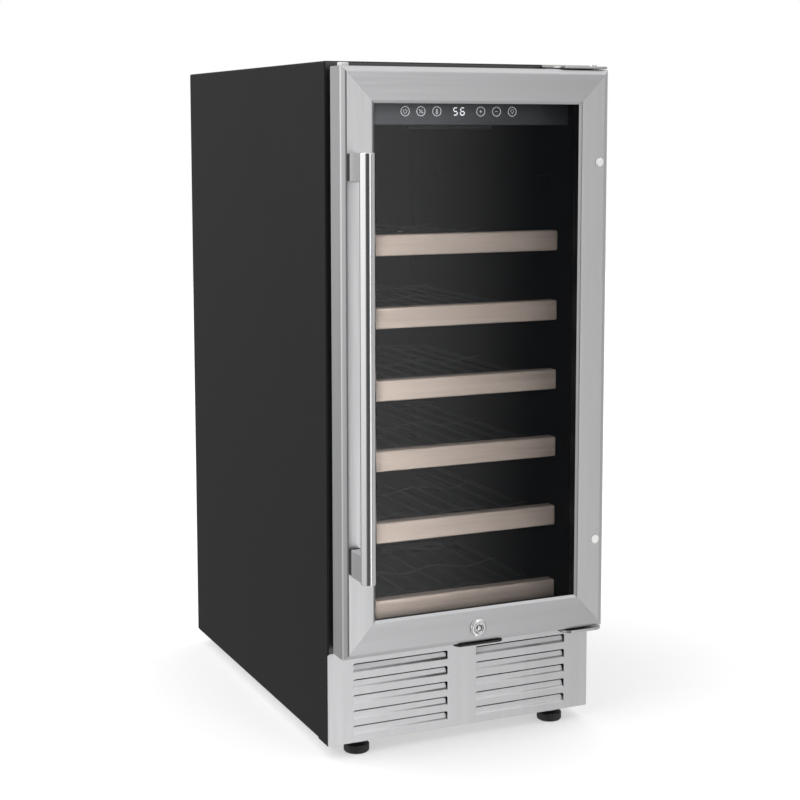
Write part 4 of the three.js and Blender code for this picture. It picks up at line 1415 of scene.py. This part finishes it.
def make_handle(look):
    """Round bar on two posts that end in saddles against it, with dark washers against the door."""
    low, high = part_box("handle_bar")
    centre = underside_middle(low, high)
    radius = (high.x - low.x) / 2
    length = high.z - low.z
    profile = rounded_profile([(0, 0), (radius, 0), (radius, length), (0, length)], 1.6 * MM, 5)
    bar = turned("handle_bar_tube", profile, centre, "z", look["polished_steel"], 96, 30)
    mounted(bar, "handle_bar")
    for name in ("upper", "lower"):
        post_low, post_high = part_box(f"handle_post_{name}")
        body_high = post_high.copy()
        body_high.y -= 8 * MM
        post = block("post", post_low, body_high, 1.0 * MM, look["stainless"], 4)
        saddle = centre.copy()
        saddle.z = post_low.z - 5 * MM
        carve(post, rod("saddle", saddle, "z", radius + 0.3 * MM, 60 * MM, look["stainless"], 96))
        shade(post, 35)
        base_low = post_low.copy()
        base_low.y = body_high.y
        base_low += Vector((0.8 * MM, 0, 0.8 * MM))
        base_high = post_high - Vector((0.8 * MM, 0, 0.8 * MM))
        washer = block("washer", base_low, base_high, 0.5 * MM, look["black_plastic"])
        mounted(joined(f"handle_post_{name}_forged", [post, washer]), f"handle_post_{name}")


def make_plugs(look):
    """Caps in the holes for a handle on the other side, and the bushing for a hinge on the other side."""
    white = look["white_plastic"]
    for name, z in (("upper", 732.5), ("lower", 241.7)):
        profile = rounded_profile([
            (0, 10), (3.2, 10), (4, 7), (4, -0.3), (5.8, -0.3), (5.4, -1.6), (3.4, -2.8), (0, -3.2)
        ], 0.9)
        plug = lathed(f"hole_plug_{name}_cap", profile, at(170, DOOR_FRONT, z), "y", white, 48)
        mounted(plug, f"hole_plug_{name}")
    profile = rounded_profile([
        (4, -15), (6.1, -15), (6.1, 0.3), (6.8, 0.3), (6.8, 3.6), (6, 4.5), (4.6, 4.5), (4, 3.8), (4, -15)
    ], 0.5)
    place = at(-172.5, -23.5, 849)
    bushing = lathed("spare_bushing", profile, place, "z", white, 48)
    # A black sleeve inside the white bushing's bore: painted shade that keeps the deep hole dark.
    bore_shade_profile = [(0, -14.5), (4, -14.5), (4, 3.4), (3.6, 3.4), (3.6, -13.9), (0, -13.9)]
    bore_shade = lathed("bushing_lining", bore_shade_profile, place, "z", look["black_plastic"], 48)
    mounted(joined("spare_bushing_lined", [bushing, bore_shade]), "spare_hinge_bushing")


def make_lock(look):
    """Cam lock for a tubular key: chrome flange, and a plug with a ring-shaped keyway."""
    chrome = look["chrome"]
    place = at(0, 0, 144)
    front = DOOR_FRONT
    flange = rounded_profile([
        (6.6, -20), (9.3, -20), (9.3, front - 0.3), (11.5, front - 0.3), (11.5, front - 1.4),
        (9.6, front - 3), (6.6, front - 3), (6.6, -20)
    ], 0.5)
    mounted(lathed("lock_barrel", flange, place, "y", chrome, 72), "lock_body")
    face = front - 3.1
    profile = [
        (0, -13.6), (2.6, -13.6), (2.6, -18), (6.2, -18), (6.2, face + 0.5), (5.7, face),
        (4.6, face), (4.6, face + 7), (3.1, face + 7), (3.1, face + 0.3), (2.8, face), (0, face),
    ]
    plug = lathed("lock_plug_tubular", profile, place, "y", chrome, 64)
    carve(plug, cuboid("key_notch", (-0.8, 0.8), (face - 2, face + 5), (147.5, 149.2), 0, chrome))
    mounted(shade(plug, 35), "lock_plug")
    outline = upright_outline((-6, 32), (139, 149), [4] * 4)
    cam = upright_sheet("lock_cam_plate", outline, (-17.7, -14.7), 0.4, look["zinc_steel"], 2)
    carve(cam, rod("cam_bore", at(0, -20, 144), "y", 2.9 * MM, 12 * MM, chrome))
    mounted(cam, "lock_cam")


# --------------------------------------------------------------------------------------------- main


def dress_remaining_nodes(look):
    """Every CAD node that still shows gets its procedural material."""
    for name, cad in NODES.items():
        material = look[SLOT_OF[name]]
        if not cad.material_slots:
            cad.data.materials.append(material)
        for slot in cad.material_slots:
            slot.material = material


def add_floor(look):
    reach = 6.0
    corners = [(-reach, -reach, 0), (reach, -reach, 0), (reach, reach, 0), (-reach, reach, 0)]
    floor = add_mesh("floor", corners, [(0, 1, 2, 3)], look["floor"])
    floor.visible_glossy = False


def add_studio():
    """Two soft lamps for everything, and one that reaches only what shows through the door."""
    add_softbox("fill", (-2.6, -1.2, 1.6), (0, 0, 0.4), (1.5, 1.8), 4)
    add_softbox("top", (0.2, 0.2, 3.0), (0, 0, 0.4), (3.0, 3.0), 6)
    inside = bpy.data.collections.new("seen_through_the_glass")
    for piece in pieces_inside():
        inside.objects.link(piece)
    add_softbox("front", (-0.80, -1.7, 0.55), (-0.30, -0.2, 0.28), (0.2, 1.2), 9.3, 31, inside)


def pieces_inside():
    """The pieces of the cabinet and the shelves that show through the door."""
    names = ("shelf_", "control_housing", "key_", "digit_")
    meshes = [piece for piece in bpy.context.scene.objects if piece.type == "MESH"]
    return [piece for piece in meshes if piece.name.startswith(names)]


def main():
    look = make_materials()
    dress_remaining_nodes(look)
    add_camera()
    add_world()
    add_floor(look)
    for make in (
        make_cabinet_shell, make_rear, make_machine_cover, make_power_inlet, make_machine_bay,
        make_kick_plate, make_strike, make_hinges, make_feet,
        make_liner, make_shelves, make_duct_cover, make_fans, make_control_panel,
        make_door_frame, make_inner_frame, make_panes, make_spacer, make_gasket,
        make_handle, make_plugs, make_lock,
    ):
        make(look)
    add_studio()
    bpy.context.scene.view_settings.view_transform = "Standard"


main()
